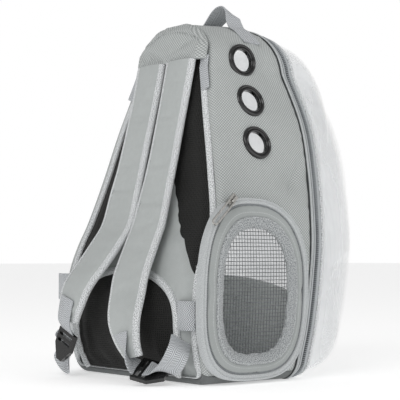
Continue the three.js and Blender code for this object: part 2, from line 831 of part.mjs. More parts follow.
add('door_panel', sideRing([
  { edge: doorEdge, inset: panelInset, out: doorSeat },
  { edge: doorEdge, inset: panelInset, out: doorPanelRise - 1 },
  { edge: doorEdge, inset: panelInset + 2, out: doorPanelRise },
  { edge: windowEdge, inset: -windowBindingWidth - fit, out: windowRim },
  { edge: windowEdge, inset: -windowBindingWidth - fit, out: netSeat },
  { edge: windowEdge, inset: -windowBindingWidth - 3, out: doorSeat },
]), 'grey');
add('window_binding', sideRing([
  { edge: windowEdge, inset: -windowBindingWidth, out: netSeat },
  { edge: windowEdge, inset: -windowBindingWidth, out: windowRim + windowBindingRise },
  { edge: windowEdge, inset: -1, out: windowRim - 1 },
  { edge: windowEdge, inset: 0, out: netSeat },
]), 'binding');

// A sheet of crossing cords over the window: cells of a grid are cord unless both their numbers are odd
function lattice(columns, rows, cord, place) {
  const edges = (count, size) => {
    const pitch = (size - cord) / count;
    return Array.from({ length: 2 * count + 2 }, (_, i) =>
      -size / 2 + Math.floor(i / 2) * pitch + (i % 2) * cord);
  };
  const across = edges(columns, place.width);
  const up = edges(rows, place.height);
  const filled = (i, j) => i >= 0 && j >= 0 && i < across.length - 1 && j < up.length - 1
    && !(i % 2 === 1 && j % 2 === 1);
  const points = [place.inner, place.outer].flatMap((out) =>
    up.flatMap((z) => across.map((y) => sidePoint(place.y + y, place.z + z, out))));
  const layer = up.length * across.length;
  const at = (i, j, k) => k * layer + j * across.length + i;
  const faces = [];
  const quad = (a, b, c, d) => faces.push([a, b, c], [a, c, d]);
  for (let i = 0; i < across.length - 1; i += 1) {
    for (let j = 0; j < up.length - 1; j += 1) {
      if (!filled(i, j)) continue;
      const [a, b, c, d] = [[i, j], [i + 1, j], [i + 1, j + 1], [i, j + 1]].map(([p, q]) => at(p, q, 0));
      const [e, f, g, h] = [a, b, c, d].map((index) => index + layer);
      quad(e, f, g, h);
      quad(d, c, b, a);
      if (!filled(i, j - 1)) quad(a, b, f, e);
      if (!filled(i, j + 1)) quad(h, g, c, d);
      if (!filled(i - 1, j)) quad(e, h, d, a);
      if (!filled(i + 1, j)) quad(b, c, g, f);
    }
  }
  return usedPoints(points, faces);
}

// Drops the points that no face uses
function usedPoints(points, faces) {
  const renamed = new Map();
  const kept = [];
  const rename = (index) => {
    if (!renamed.has(index)) {
      renamed.set(index, kept.length);
      kept.push(points[index]);
    }
    return renamed.get(index);
  };
  const renumbered = faces.map((face) => face.map(rename));
  return closedGeometry(kept, renumbered);
}

const netSheet = lattice(netColumns, netRows, netCord, {
  y: windowCentreY,
  z: windowCentreZ,
  width: windowWidth + 2 * netMargin,
  height: windowHeight + 2 * netMargin,
  inner: doorSeat,
  outer: doorSeat + netThickness,
});
add('window_net', keep(netSheet, sidePrism(windowEdge, -netMargin, -cutterReach, cutterReach)), 'net');

// Zip slider of the door and its long pull, an open wire loop that lies along the tape
const sliderPlace = { y: 0.19, z: 0.46 };
const pullFall = THREE.MathUtils.degToRad(37);

function zipPoint(along, out) {
  const y = doorCentreY + sliderPlace.y * doorWidth + along * Math.cos(pullFall);
  const z = doorCentreZ + sliderPlace.z * doorHeight - along * Math.sin(pullFall);
  return sidePoint(y, z, out);
}

function placeAlongZip(geometry, out) {
  const seat = zipPoint(0, out);
  const run = zipPoint(pullLength, out).sub(seat).normalize();
  const outward = zipPoint(0, out + 1).sub(seat).normalize();
  const across = new THREE.Vector3().crossVectors(outward, run).normalize();
  const lifted = new THREE.Vector3().crossVectors(run, across);
  return geometry.applyMatrix4(new THREE.Matrix4().makeBasis(run, across, lifted).setPosition(seat));
}

const sliderOut = doorTapeRise + 2 * fit;
const sliderBody = new THREE.BoxGeometry(sliderLength, sliderWidth, sliderThickness);
sliderBody.translate(0, 0, sliderThickness / 2);

// The slider's bridge, an arch along it that the pull's wire passes under
function bridgeShape() {
  const [half, top] = [bridgeLength / 2, bridgeHole + bridgeWall];
  const shape = new THREE.Shape();
  shape.moveTo(-half, -bridgeWall / 2);
  shape.lineTo(half, -bridgeWall / 2);
  shape.lineTo(half, top - bridgeWall);
  shape.lineTo(half - bridgeWall, top);
  shape.lineTo(bridgeWall - half, top);
  shape.lineTo(-half, top - bridgeWall);
  shape.closePath();
  const hole = new THREE.Path();
  hole.moveTo(bridgeWall - half, 0);
  hole.lineTo(bridgeWall - half, bridgeHole);
  hole.lineTo(half - bridgeWall, bridgeHole);
  hole.lineTo(half - bridgeWall, 0);
  hole.closePath();
  shape.holes.push(hole);
  return shape;
}

const bridge = new THREE.ExtrudeGeometry(bridgeShape(), { depth: bridgeWidth, bevelEnabled: false });
bridge.rotateX(Math.PI / 2);
bridge.translate(0, bridgeWidth / 2, sliderThickness);
const slider = fromManifold(toManifold(sliderBody).add(toManifold(bridge)));
add('door_slider', placeAlongZip(slider, sliderOut), 'nickel');

function pullShape() {
  const shape = new THREE.Shape();
  const radius = pullWidth / 2;
  shape.absarc(pullLength - radius, 0, radius, -Math.PI / 2, Math.PI / 2);
  shape.absarc(radius, 0, radius, Math.PI / 2, (3 * Math.PI) / 2);
  const hole = new THREE.Path();
  const inside = radius - pullWire;
  hole.absarc(pullLength - radius, 0, inside, -Math.PI / 2, Math.PI / 2);
  hole.absarc(radius, 0, inside, Math.PI / 2, (3 * Math.PI) / 2);
  shape.holes.push(hole);
  return shape;
}

const pull = new THREE.ExtrudeGeometry(pullShape(), {
  depth: pullThickness,
  bevelEnabled: false,
  curveSegments: 6,
});
const pullSeat = sliderThickness + (bridgeHole - pullThickness) / 2;
pull.translate(-pullWire / 2, 0, pullSeat);
add('door_zip_pull', placeAlongZip(pull, sliderOut), 'nickel');

// Yoke: the padded cap over the top of the back, open underneath where the straps leave it
const yokeFoot = bodyHeight - yokeDrop;
const yokeTop = bodyHeight - 3;
const yokeInner = meshRise + padCrown + fit;
const yokeSeat = 0.6;
const yokeHem = 18;
const yokeHeights = [...levels(yokeFoot, yokeTop - 5), yokeTop];
const yokeHalf = (z) => Math.max(yokeHem + 2, Math.min(yokeHalfWidth, insetWidth(z, 1)));
const yokeRoundingStart = bodyHeight * 0.93;
const yokeRounding = bodyHeight * 0.066;
const yokeSection = (half, z) => {
  const over = Math.max(0, (z - yokeRoundingStart) / yokeRounding);
  const rise = (yokeThickness - yokeInner) * Math.sqrt(Math.max(0.12, 1 - over ** 2));
  const right = [
    { x: half - yokeHem, out: yokeInner },
    { x: half, out: yokeSeat },
    { x: half, out: yokeInner + rise * 0.5 },
    { x: half * 0.86, out: yokeInner + rise * 0.9 },
    { x: half * 0.4, out: yokeInner + rise },
  ];
  return [...right, ...right.map(({ x, out }) => ({ x: -x, out })).reverse()];
};
add('yoke', backPad(yokeHeights, yokeHalf, yokeSection), 'grey');

// Shoulder straps
const strapSteps = 15;
const strapTop = yokeFoot - fit;

function strapPoint(side, drop, share) {
  const z = strapTop - drop * share;
  const x = side * strapSpread * readTable(strapRows, 'drop', 'spread', share);
  const out = strapStandOff * readTable(strapRows, 'drop', 'standOff', share);
  return new THREE.Vector3(x, backAt(z) + out, z);
}

// The strap's own axes at a share of its drop: along it, across it and out of its face
function strapFrame(side, drop, share) {
  const at = strapPoint(side, drop, share);
  const step = 0.01;
  const run = strapPoint(side, drop, share + step).sub(strapPoint(side, drop, share - step)).normalize();
  if (share === 0) run.set(0, 0, -1);
  const across = new THREE.Vector3(1, 0, 0);
  const face = new THREE.Vector3().crossVectors(across, run).normalize();
  if (face.y < 0) face.negate();
  across.crossVectors(run, face).normalize();
  return { at, run, across, face, width: strapWidth * readTable(strapRows, 'drop', 'width', share) };
}

function onStrap(frame, across, out) {
  return frame.at.clone().addScaledVector(frame.across, across).addScaledVector(frame.face, out);
}

function strapLoft(side, drop, from, section) {
  return loft(spread(from, 1, strapSteps).map((share) => {
    const frame = strapFrame(side, drop, share);
    return section(frame.width / 2).map(([across, out]) => onStrap(frame, across, out));
  }));
}

const strapHalf = strapThickness / 2;
const strapEdgeHalf = strapHalf * 0.55;
const strapRimHalf = strapHalf * 0.45;
const padSection = (half) => {
  const edge = half - strapBindingWidth - 2 * fit;
  const flat = edge * 0.7;
  return [
    [-edge, -strapEdgeHalf],
    [-flat, -strapHalf],
    [flat, -strapHalf],
    [edge, -strapEdgeHalf],
    [edge, strapEdgeHalf],
    [flat, strapHalf],
    [-flat, strapHalf],
    [-edge, strapEdgeHalf],
  ];
};
const edgeSection = (side) => (half) => [
  [side * (half - strapBindingWidth), -strapEdgeHalf],
  [side * (half - 1), -strapRimHalf],
  [side * half, 0],
  [side * (half - 1), strapRimHalf],
  [side * (half - strapBindingWidth), strapEdgeHalf + fit],
];

// A flat strip of webbing through a list of places, each with its centre, its across direction and its face
function strip(places, width, thickness) {
  const loops = places.map(({ at, across, face }) => [
    [-width / 2, -thickness / 2],
    [width / 2, -thickness / 2],
    [width / 2, thickness / 2],
    [-width / 2, thickness / 2],
  ].map(([a, b]) => at.clone().addScaledVector(across, a).addScaledVector(face, b)));
  return loft(loops);
}

// The places of a strip along a smooth curve, kept level across the given direction
function stripPlaces(points, across, steps) {
  const curve = new THREE.CatmullRomCurve3(points, false, 'centripetal');
  return spread(0, 1, steps).map((t) => {
    const run = curve.getTangentAt(t);
    const face = new THREE.Vector3().crossVectors(run, across).normalize();
    const level = new THREE.Vector3().crossVectors(face, run).normalize();
    return { at: curve.getPointAt(t), across: level, face };
  });
}

// The buckle: a square part with two slots for webbing, and a nose that narrows away from the strap
function buckleShape() {
  const [half, square] = [buckleWidth / 2, buckleLength * 0.55];
  const nose = half * 0.3;
  const shape = new THREE.Shape();
  shape.moveTo(-half, 0);
  shape.lineTo(half, 0);
  shape.lineTo(half, square);
  shape.lineTo(nose, buckleLength);
  shape.lineTo(-nose, buckleLength);
  shape.lineTo(-half, square);
  shape.closePath();
  const slot = (from, to) => {
    const path = new THREE.Path();
    const reach = webbingWidth / 2 + 2 * fit;
    path.moveTo(-reach, from);
    path.lineTo(-reach, to);
    path.lineTo(reach, to);
    path.lineTo(reach, from);
    path.closePath();
    return path;
  };
  const gap = (square - 3 * buckleBar) / 2;
  const second = 2 * buckleBar + gap;
  shape.holes.push(slot(buckleBar, buckleBar + gap), slot(second, second + gap));
  return shape;
}

// The buckle's own axes: the way it points from the strap's end, and the way its face looks
function buckleFrame(end, { points, looks }) {
  const run = new THREE.Vector3(...points).normalize();
  const face = new THREE.Vector3(...looks);
  face.addScaledVector(run, -face.dot(run)).normalize();
  const across = new THREE.Vector3().crossVectors(run, face);
  const seat = end.at.clone().addScaledVector(end.run, tabDrop + fit);
  return { seat, run, across, face };
}

// Both straps: the left one ends near the floor with its buckle lying over, the right one's buckle hangs
const straps = [
  { name: 'left', side: -1, drop: leftStrapDrop, points: [-0.85, -0.45, -0.22], looks: [0, 0.55, 0.83] },
  { name: 'right', side: 1, drop: rightStrapDrop, points: [0.35, 0.1, -0.9], looks: [0, 1, 0.1] },
];
straps.forEach(({ name, side, drop, points, looks }) => {
  add(`strap_${name}`, strapLoft(side, drop, 0, padSection), 'grey');
  add(`strap_${name}_binding_inner`, strapLoft(side, drop, 0, edgeSection(-side)), 'binding');
  add(`strap_${name}_binding_outer`, strapLoft(side, drop, 0, edgeSection(side)), 'binding');

  const end = strapFrame(side, drop, 1);
  const buckle = buckleFrame(end, { points, looks });
  const tabOut = strapHalf + webbingThickness / 2 + slack;
  const tabPlace = (frame, distance) => ({
    at: onStrap(frame, 0, tabOut).addScaledVector(frame.run, distance),
    across: frame.across,
    face: frame.face,
  });
  const sewn = [1, 0.5].map((share) => tabPlace(strapFrame(side, drop, 1 - (share * tabLength) / drop), 0));
  const turned = buckle.across.dot(end.across) < 0 ? -1 : 1;
  const last = {
    at: buckle.seat.clone().addScaledVector(buckle.run, -2 * fit),
    across: buckle.across.clone().multiplyScalar(turned),
    face: buckle.face.clone().multiplyScalar(turned),
  };
  const turning = spread(0, 1, 4).map((t) => {
    const from = tabPlace(end, 1);
    const across = from.across.clone().lerp(last.across, t).normalize();
    const face = from.face.clone().lerp(last.face, t);
    face.addScaledVector(across, -face.dot(across)).normalize();
    return { at: from.at.clone().lerp(last.at, t), across, face };
  });
  add(`strap_${name}_tab`, strip([...sewn, ...turning], webbingWidth, webbingThickness), 'webbing');

  const shape = new THREE.ExtrudeGeometry(buckleShape(), { depth: buckleThickness, bevelEnabled: false });
  shape.translate(0, 0, -buckleThickness / 2);
  const axes = new THREE.Matrix4().makeBasis(buckle.across, buckle.run, buckle.face);
  add(`buckle_${name}`, shape.applyMatrix4(axes.setPosition(buckle.seat)), 'plastic');
});

// Top handle: one strip of webbing, sewn down both shoulders of the body and raised in between
// A point of the body's skin at a distance along the outline from the top, and out from it
function overTop(distance, out) {
  const half = outlineHalf(0, 0).reverse();
  let left = Math.abs(distance);
  let i = 0;
  const gap = (k) => Math.hypot(half[k + 1].x - half[k].x, half[k + 1].z - half[k].z);
  while (left > gap(i)) {
    left -= gap(i);
    i += 1;
  }
  const [from, to] = [half[i], half[i + 1]];
  const share = left / gap(i);
  const side = Math.sign(distance) || 1;
  const z = THREE.MathUtils.lerp(from.z, to.z, share);
  const x = THREE.MathUtils.lerp(from.x, to.x, share);
  const depth = (backAt(z) - handleCentreY) / (backAt(z) - frontAt(z));
  const normal = new THREE.Vector3(side * (from.z - to.z), 0, to.x - from.x).normalize();
  const at = skinPoint({ x: side * x, z }, depth);
  at.y = handleCentreY;
  return at.addScaledVector(normal, out);
}

// Handle from one sewn end to the other: distance along the outline as a share of handleSpan, lift off the
// body as a share of handleRise
const handleSeat = 4.4;
const handleThickness = 2;
const handleSteps = 22;
const handleRows = [
  { along: -1.35, lift: 0 },
  { along: -1.0, lift: 0 },
  { along: -0.62, lift: 0 },
  { along: -0.46, lift: 0.3 },
  { along: -0.3, lift: 0.8 },
  { along: -0.08, lift: 1.0 },
  { along: 0.16, lift: 0.95 },
  { along: 0.34, lift: 0.68 },
  { along: 0.48, lift: 0.24 },
  { along: 0.62, lift: 0 },
  { along: 1.0, lift: 0 },
  { along: 1.35, lift: 0 },
];
const handleLine = handleRows.map(({ along, lift }) =>
  overTop(along * handleSpan, handleSeat + lift * (handleRise - handleSeat)));
const handlePlaces = stripPlaces(handleLine, new THREE.Vector3(0, -1, 0), handleSteps);
add('top_handle', strip(handlePlaces, webbingWidth, handleThickness), 'webbing');

// Lower webbing: from the surround beside the lumbar pad out to the buckle at the strap's end
const webbingAnchor = 50;
const webbingSteps = 14;
const webbingBow = { aside: 13, behind: 8 };
const webbingLead = 10;
straps.forEach(({ name, side, drop, points, looks }) => {
  const buckle = buckleFrame(strapFrame(side, drop, 1), { points, looks });
  const startX = lumbarHalf(webbingAnchor) + lumbarBindingWidth + 8 * slack;
  const start = backPoint(side * startX, webbingAnchor, surroundRise + 7 * slack);
  const facing = Math.sign(start.clone().sub(buckle.seat).dot(buckle.face));
  const onBuckle = (along, out) => buckle.seat.clone().addScaledVector(buckle.run, buckleLength * along)
    .addScaledVector(buckle.face, facing * ((buckleThickness + webbingThickness) / 2 + out));
  const [end, leave] = [onBuckle(0.35, slack), onBuckle(0.72, 3 * slack)];
  const approach = onBuckle(1.1, webbingLead);
  const middle = start.clone().lerp(approach, 0.45);
  middle.x += side * webbingBow.aside;
  middle.y += webbingBow.behind;
  const curve = new THREE.CatmullRomCurve3([start, middle, approach, leave, end], false, 'centripetal');
  const upright = new THREE.Vector3(0, 0.2, -1);
  const sense = buckle.across.dot(upright) < 0 ? -1 : 1;
  const places = spread(0, 1, webbingSteps).map((t) => {
    const run = curve.getTangentAt(t);
    const level = upright.clone().lerp(buckle.across.clone().multiplyScalar(sense), t);
    const face = new THREE.Vector3().crossVectors(run, level).normalize();
    return { at: curve.getPointAt(t), across: new THREE.Vector3().crossVectors(face, run).normalize(), face };
  });
  add(`webbing_${name}`, strip(places, webbingWidth, webbingThickness), 'webbing');
});

// Side bands: wide webbing from the lumbar pad's side over the border to the body's edge. Their place is a
// share of bodyHeight, their bulge and their reach past the edge are shares of their width.
const sideBandSteps = 8;
const sideBands = [
  { name: 'left', side: -1, at: 0.181, bulge: 0.06, reach: -0.28 },
  { name: 'right', side: 1, at: 0.2476, bulge: 0.28, reach: 0.16 },
].map(({ at, bulge, reach, ...rest }) => ({
  ...rest,
  height: at * bodyHeight,
  bulge: bulge * sideBandWidth,
  reach: reach * sideBandWidth,
}));
sideBands.forEach(({ name, side, height, bulge, reach }) => {
  const edge = halfWidthAt(height);
  const seamHeight = height - sideBandWidth / 2 + 2 * webbingThickness;
  const seamX = lumbarHalf(seamHeight) + lumbarBindingWidth + fit;
  const line = [
    backPoint(side * seamX, height, lumbarSeat + 1),
    backPoint(side * THREE.MathUtils.lerp(lumbarHalfWidth, edge, 0.6), height, lumbarInner + bulge),
    backPoint(side * (edge + reach), height, (lumbarInner + bulge) / 2),
  ];
  const places = stripPlaces(line, new THREE.Vector3(0, 0, side), sideBandSteps);
  add(`side_band_${name}`, strip(places, sideBandWidth, webbingThickness), 'webbing');
});

// Woven patches on the border beside the yoke
straps.forEach(({ name, side }) => {
  const top = yokeFoot - 2 * fit;
  const loops = levels(top - patchHeight, top).map((z) => {
    const outer = insetWidth(z, panelThickness);
    const seat = backBindingRise + fit;
    return [[0, 0], [1, 0], [1, 1], [0, 1]].map(([across, up]) =>
      backPoint(side * (outer - across * patchWidth), z, seat + up * patchThickness));
  });
  add(`patch_${name}`, loft(loops), 'webbing');
});

// Soft panel inside the front opening: as wide as the cabin, its top edge lower at both sides
const apronFoot = panelThickness + slack;
const apronHalf = (z) => {
  const full = halfWidthAt(z) - panelThickness - 2 * slack;
  const left = Math.max(0.02, Math.min(1, (apronHeight - z) / apronSag));
  return Math.min(full, full * Math.sqrt(left));
};
const apronSteps = 4;
const apronHeights = [
  ...levels(apronFoot, apronHeight - apronSag),
  ...spread(apronHeight - apronSag * 0.75, apronHeight, apronSteps),
];
const apronFoldZ = baseCornerRadius;
add('inner_panel', loft(apronHeights.map((z) => {
  const half = z < apronFoldZ ? apronHalf(apronFoldZ) - baseCornerRadius * 0.7 : apronHalf(z);
  const y = frontAt(z) + apronSetBack;
  return [[-half, y], [half, y], [half, y + apronThickness], [-half, y + apronThickness]]
    .map(([a, b]) => new THREE.Vector3(a, b, z));
})), 'grey');

export default group;
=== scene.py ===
# %% [markdown]
# # A backpack for carrying a pet, dressed around its CAD frame
# The frame holds the bag's pieces at their real size: body, clear dome, netted door, straps, buckles.
# This script loads it, swaps each plain cloth solid for a modelled and stitched one, and gives every
# surface a finish. The clear front faces -Y, the wearer's back is +Y, the netted door is on -X.

# %% Load the frame
import math
import bmesh
import bpy
import numpy as np
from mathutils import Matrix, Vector


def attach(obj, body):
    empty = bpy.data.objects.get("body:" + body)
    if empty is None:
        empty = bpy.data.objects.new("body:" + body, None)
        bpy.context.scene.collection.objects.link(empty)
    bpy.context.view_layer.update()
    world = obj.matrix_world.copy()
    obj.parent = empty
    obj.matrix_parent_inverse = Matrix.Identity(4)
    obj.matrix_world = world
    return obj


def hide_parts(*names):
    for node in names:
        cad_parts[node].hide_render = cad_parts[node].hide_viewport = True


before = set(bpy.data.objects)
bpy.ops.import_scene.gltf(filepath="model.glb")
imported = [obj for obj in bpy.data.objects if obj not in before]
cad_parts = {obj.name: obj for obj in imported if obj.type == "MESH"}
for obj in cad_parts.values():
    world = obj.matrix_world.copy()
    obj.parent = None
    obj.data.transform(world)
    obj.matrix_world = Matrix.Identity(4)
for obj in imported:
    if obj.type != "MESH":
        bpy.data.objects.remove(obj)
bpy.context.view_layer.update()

# %% [markdown]
# ## The body's measures
# Cloth is cut to a pattern, so the lesson starts with the pattern: a few driving sizes in millimetres and
# short tables that say how wide and how deep the body is at each share of its height. A smooth curve
# through a short table is easier to adjust by hand than a long list of points.

# %% Sizes and tables
MM = 0.001
BODY_HEIGHT = 420.0
BODY_WIDTH = 266.0
BASE_DEPTH = 120.0
BASE_CORNER = 20.0
FLARE = 6.0
CAP_START = 12 / 14
CAP_ROUNDNESS = 2.4

OUTLINE = {
    "height": [0.0, 0.143, 0.286, 0.357, 0.43, 0.57, 0.714, 0.8571],
    "half_width": [0.947, 0.977, 1.0, 1.0, 0.977, 0.835, 0.692, 0.534],
}
PROFILE = {
    "height": [0.0, 0.07, 0.14, 0.24, 0.29, 0.36, 0.43, 0.57, 0.71, 0.86, 1.0],
    "back": [0.0, 0.065, 0.1, 0.1, 0.075, -0.017, -0.125, -0.23, -0.31, -0.418, -0.51],
    "front": [0.0, 0.055, 0.108, 0.15, 0.165, 0.19, 0.213, 0.328, 0.38, 0.3, 0.19],
}


def read_table(table, key, column, at):
    """A smooth reading of one column at a share along the table."""
    keys, values = np.array(table[key]), np.array(table[column])
    slopes = np.empty_like(values)
    slopes[1:-1] = (values[2:] - values[:-2]) / (keys[2:] - keys[:-2])
    slopes[0] = (values[1] - values[0]) / (keys[1] - keys[0])
    slopes[-1] = (values[-1] - values[-2]) / (keys[-1] - keys[-2])
    at = np.clip(np.asarray(at, float), keys[0], keys[-1])
    i = np.clip(np.searchsorted(keys, at, side="right") - 1, 0, len(keys) - 2)
    span = keys[i + 1] - keys[i]
    t = (at - keys[i]) / span
    rise = values[i + 1] - values[i]
    bend = t * (1 - t) ** 2 * slopes[i] * span - t * t * (1 - t) * slopes[i + 1] * span
    return values[i] + t * t * (3 - 2 * t) * rise + bend


def back_at(z):
    return BASE_DEPTH * (0.5 + read_table(PROFILE, "height", "back", np.asarray(z) / BODY_HEIGHT))


def front_at(z):
    return -BASE_DEPTH * (0.5 + read_table(PROFILE, "height", "front", np.asarray(z) / BODY_HEIGHT))


def half_width_at(z):
    share = np.clip(np.asarray(z, float) / BODY_HEIGHT, 0, 1)
    width = read_table(OUTLINE, "height", "half_width", np.minimum(share, CAP_START))
    cap = np.clip((share - CAP_START) / (1 - CAP_START), 0, 1)
    return BODY_WIDTH / 2 * width * np.sqrt(1 - cap ** CAP_ROUNDNESS)


print("half width at the hip", float(half_width_at(120)), "mm, back there at", float(back_at(120)), "mm")

# %% [markdown]
# ## One outline for everything sewn to it
# The side panels, piping, zips and dome all follow the same closed line seen from the front. Reading that
# line by its own length, as a tape measure would, keeps the weave and the zip teeth evenly spaced.

# %% The outline by its length
def smooth_closed(values, passes):
    for _ in range(passes):
        values = (np.roll(values, 1, 0) + 2 * values + np.roll(values, -1, 0)) / 4
    return values


def measure_outline():
    corner_x = float(half_width_at(BASE_CORNER)) - BASE_CORNER
    base = [(x, 0.0) for x in np.linspace(0, corner_x, 40, endpoint=False)]
    turns = np.linspace(0, math.pi / 2, 20, endpoint=False)
    corner = [(corner_x + BASE_CORNER * math.sin(t), BASE_CORNER * (1 - math.cos(t))) for t in turns]
    cap_z = CAP_START * BODY_HEIGHT
    side = [(float(half_width_at(z)), z) for z in np.linspace(BASE_CORNER, cap_z, 160, endpoint=False)]
    rises = np.sin(np.linspace(0, math.pi / 2, 80))
    cap_height = BODY_HEIGHT - cap_z
    half = float(half_width_at(cap_z))
    cap = [(half * math.sqrt(1 - r ** CAP_ROUNDNESS), cap_z + cap_height * r) for r in rises]
    right = base + corner + side + cap
    left = [(-x, z) for x, z in reversed(right[1:-1])]
    points = np.array(right + left)
    steps = np.linalg.norm(np.roll(points, -1, 0) - points, axis=1)
    lengths = np.concatenate([[0], np.cumsum(steps)])
    even = np.linspace(0, lengths[-1], 1200, endpoint=False)
    closed = np.vstack([points, points[:1]])
    even_points = np.stack([np.interp(even, lengths, closed[:, k]) for k in (0, 1)], axis=1)
    even_points = smooth_closed(even_points, 6)
    runs = np.roll(even_points, -1, 0) - np.roll(even_points, 1, 0)
    normals = np.stack([runs[:, 1], -runs[:, 0]], axis=1)
    normals = smooth_closed(normals / np.linalg.norm(normals, axis=1, keepdims=True), 12)
    normals /= np.linalg.norm(normals, axis=1, keepdims=True)
    return even_points, normals, lengths[-1]


outline_points, outline_normals, OUTLINE_LENGTH = measure_outline()


def outline_at(s, out=0.0):
    """x and z of the outline at length s from the middle of the base, moved outwards."""
    at = (np.asarray(s, float) / OUTLINE_LENGTH * len(outline_points)) % len(outline_points)
    low = np.floor(at).astype(int) % len(outline_points)
    high = (low + 1) % len(outline_points)
    share = (at - np.floor(at))[..., None]
    point = outline_points[low] * (1 - share) + outline_points[high] * share
    normal = outline_normals[low] * (1 - share) + outline_normals[high] * share
    moved = point + normal * np.asarray(out)[..., None]
    return moved[..., 0], moved[..., 1]


def skin(s, depth, out=0.0, ahead=0.0):
    """A point of the body's skin: depth is 0 at the back edge and 1 at the front seam."""
    x, z = outline_at(s, out)
    back, front = back_at(z), front_at(z)
    y = back + (front - back) * depth - ahead
    x = x + FLARE * depth * x / (np.abs(x) + BASE_CORNER)
    return np.stack(np.broadcast_arrays(x, y, z), axis=-1)


print("outline length", round(OUTLINE_LENGTH), "mm")

# %% [markdown]
# ## From rows of points to a mesh
# Nearly every piece of a sewn bag is a strip: rows of points along it, and a few points across it. One
# helper joins such rows into faces and lays a UV map whose unit is the metre, so that a weave keeps its
# true size on every piece without any picture.

# %% Mesh helpers
def lengths_along(points, axis):
    steps = np.linalg.norm(np.diff(points, axis=axis), axis=2).mean(axis=1 - axis)
    return np.concatenate([[0], np.cumsum(steps)]) * MM


def strip_mesh(name, points, closed_u=False, closed_v=False, keep=None, caps=False, across=None):
    """points[i, j] in millimetres: i runs along the strip and j across it."""
    nu, nv = points.shape[:2]
    wrapped = points
    if closed_u:
        wrapped = np.concatenate([wrapped, wrapped[:1]], axis=0)
    if closed_v:
        wrapped = np.concatenate([wrapped, wrapped[:, :1]], axis=1)
    along = lengths_along(wrapped, 0)
    over = lengths_along(wrapped, 1) if across is None else np.asarray(across) * MM
    faces, uvs = [], []
    for i in range(nu if closed_u else nu - 1):
        for j in range(nv if closed_v else nv - 1):
            i2, j2 = (i + 1) % nu, (j + 1) % nv
            if keep is not None and not keep[i, j]:
                continue
            faces.append((i * nv + j, i2 * nv + j, i2 * nv + j2, i * nv + j2))
            uvs += [(along[i], over[j]), (along[i + 1], over[j]), (along[i + 1], over[j + 1]),
                    (along[i], over[j + 1])]
    if caps:
        for i, order in ((0, -1), (nu - 1, 1)):
            faces.append(tuple(i * nv + j for j in range(nv))[::order])
            uvs += [(along[i], over[j]) for j in range(nv)][::order]
    mesh = bpy.data.meshes.new(name)
    mesh.from_pydata((points.reshape(-1, 3) * MM).tolist(), [], faces)
    layer = mesh.uv_layers.new(name="UVMap")
    layer.data.foreach_set("uv", np.array(uvs, dtype=np.float32).ravel())
    return finish_mesh(mesh)


def finish_mesh(mesh, sharp=40, fix_normals=True):
    edit = bmesh.new()
    edit.from_mesh(mesh)
    loose = [v for v in edit.verts if not v.link_faces]
    bmesh.ops.delete(edit, geom=loose, context="VERTS")
    if fix_normals:
        bmesh.ops.recalc_face_normals(edit, faces=edit.faces[:])
    edit.to_mesh(mesh)
    edit.free()
    mesh.polygons.foreach_set("use_smooth", [True] * len(mesh.polygons))
    mesh.set_sharp_from_angle(angle=math.radians(sharp))
    return mesh


def settle(obj):
    """Turns what the modifiers make into the piece's own mesh."""
    graph = bpy.context.evaluated_depsgraph_get()
    graph.update()
    mesh = bpy.data.meshes.new_from_object(obj.evaluated_get(graph), depsgraph=graph)
    obj.modifiers.clear()
    obj.data = mesh
    return obj


def piece(name, mesh, finish, replaces=(), body="bag"):
    obj = bpy.data.objects.new(name, mesh)
    bpy.context.scene.collection.objects.link(obj)
    mesh.materials.clear()
    mesh.materials.append(finish)
    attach(obj, body)
    if replaces:
        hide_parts(*replaces)
    return obj


def thicken(obj, thickness, offset=-1.0):
    solid = obj.modifiers.new("cloth thickness", "SOLIDIFY")
    solid.thickness = thickness * MM
    solid.offset = offset
    solid.use_even_offset = True
    return obj


def ripple(points, wavelength, seed):
    """Slow, smooth unevenness between about -1 and 1, the same on every run."""
    rng = np.random.default_rng(seed)
    total = 0.0
    for k in range(6):
        way = rng.normal(size=3)
        way /= np.linalg.norm(way)
        scale = 2 * math.pi / (wavelength * rng.uniform(0.7, 1.6))
        total = total + np.sin(points @ way * scale + rng.uniform(0, 2 * math.pi))
    return total / 3


# %% [markdown]
# ## Padding by cloth simulation
# Foam under cloth is never quite even: the cover is cut a little large, so it lifts and creases between
# its seams. The Cloth modifier makes that: the sewn points are pinned and pressure fills the rest. How far
# a point may move is capped, so a piece keeps its measured shape, and no modifier stays behind.

# %% Puffed cloth
def points_of(mesh):
    places = np.empty(len(mesh.vertices) * 3)
    mesh.vertices.foreach_get("co", places)
    return places.reshape(-1, 3)


def puff(obj, free, cap=1.6, pressure=4.0, spare=0.03):
    """free holds one number for each vertex: 0 where it is sewn down, 1 where it may lift. Lengths in mm."""
    start = points_of(obj.data)
    free = np.clip(np.asarray(free, float).ravel(), 0, 1)
    sewn = obj.vertex_groups.new(name="sewn")
    sewn.add([int(k) for k in np.nonzero(free < 0.05)[0]], 1.0, "REPLACE")
    cover = obj.modifiers.new("filled cover", "CLOTH")
    cover.settings.vertex_group_mass = "sewn"
    cover.settings.use_pressure = True
    cover.settings.uniform_pressure_force = pressure
    cover.settings.shrink_min = -spare
    cover.settings.effector_weights.gravity = 0
    for number in range(1, 21):
        bpy.context.scene.frame_set(number)
    graph = bpy.context.evaluated_depsgraph_get()
    moved = points_of(obj.evaluated_get(graph).data) - start
    obj.modifiers.clear()
    obj.vertex_groups.clear()
    bpy.context.scene.frame_set(1)
    far = np.linalg.norm(moved, axis=1, keepdims=True) + 1e-9
    moved *= np.tanh(far / (cap * MM)) * cap * MM / far * free[:, None]
    obj.data.vertices.foreach_set("co", (start + moved).ravel())
    obj.data.update()
    print(obj.name, "puffed by up to", round(float(np.linalg.norm(moved, axis=1).max() / MM), 2), "mm")


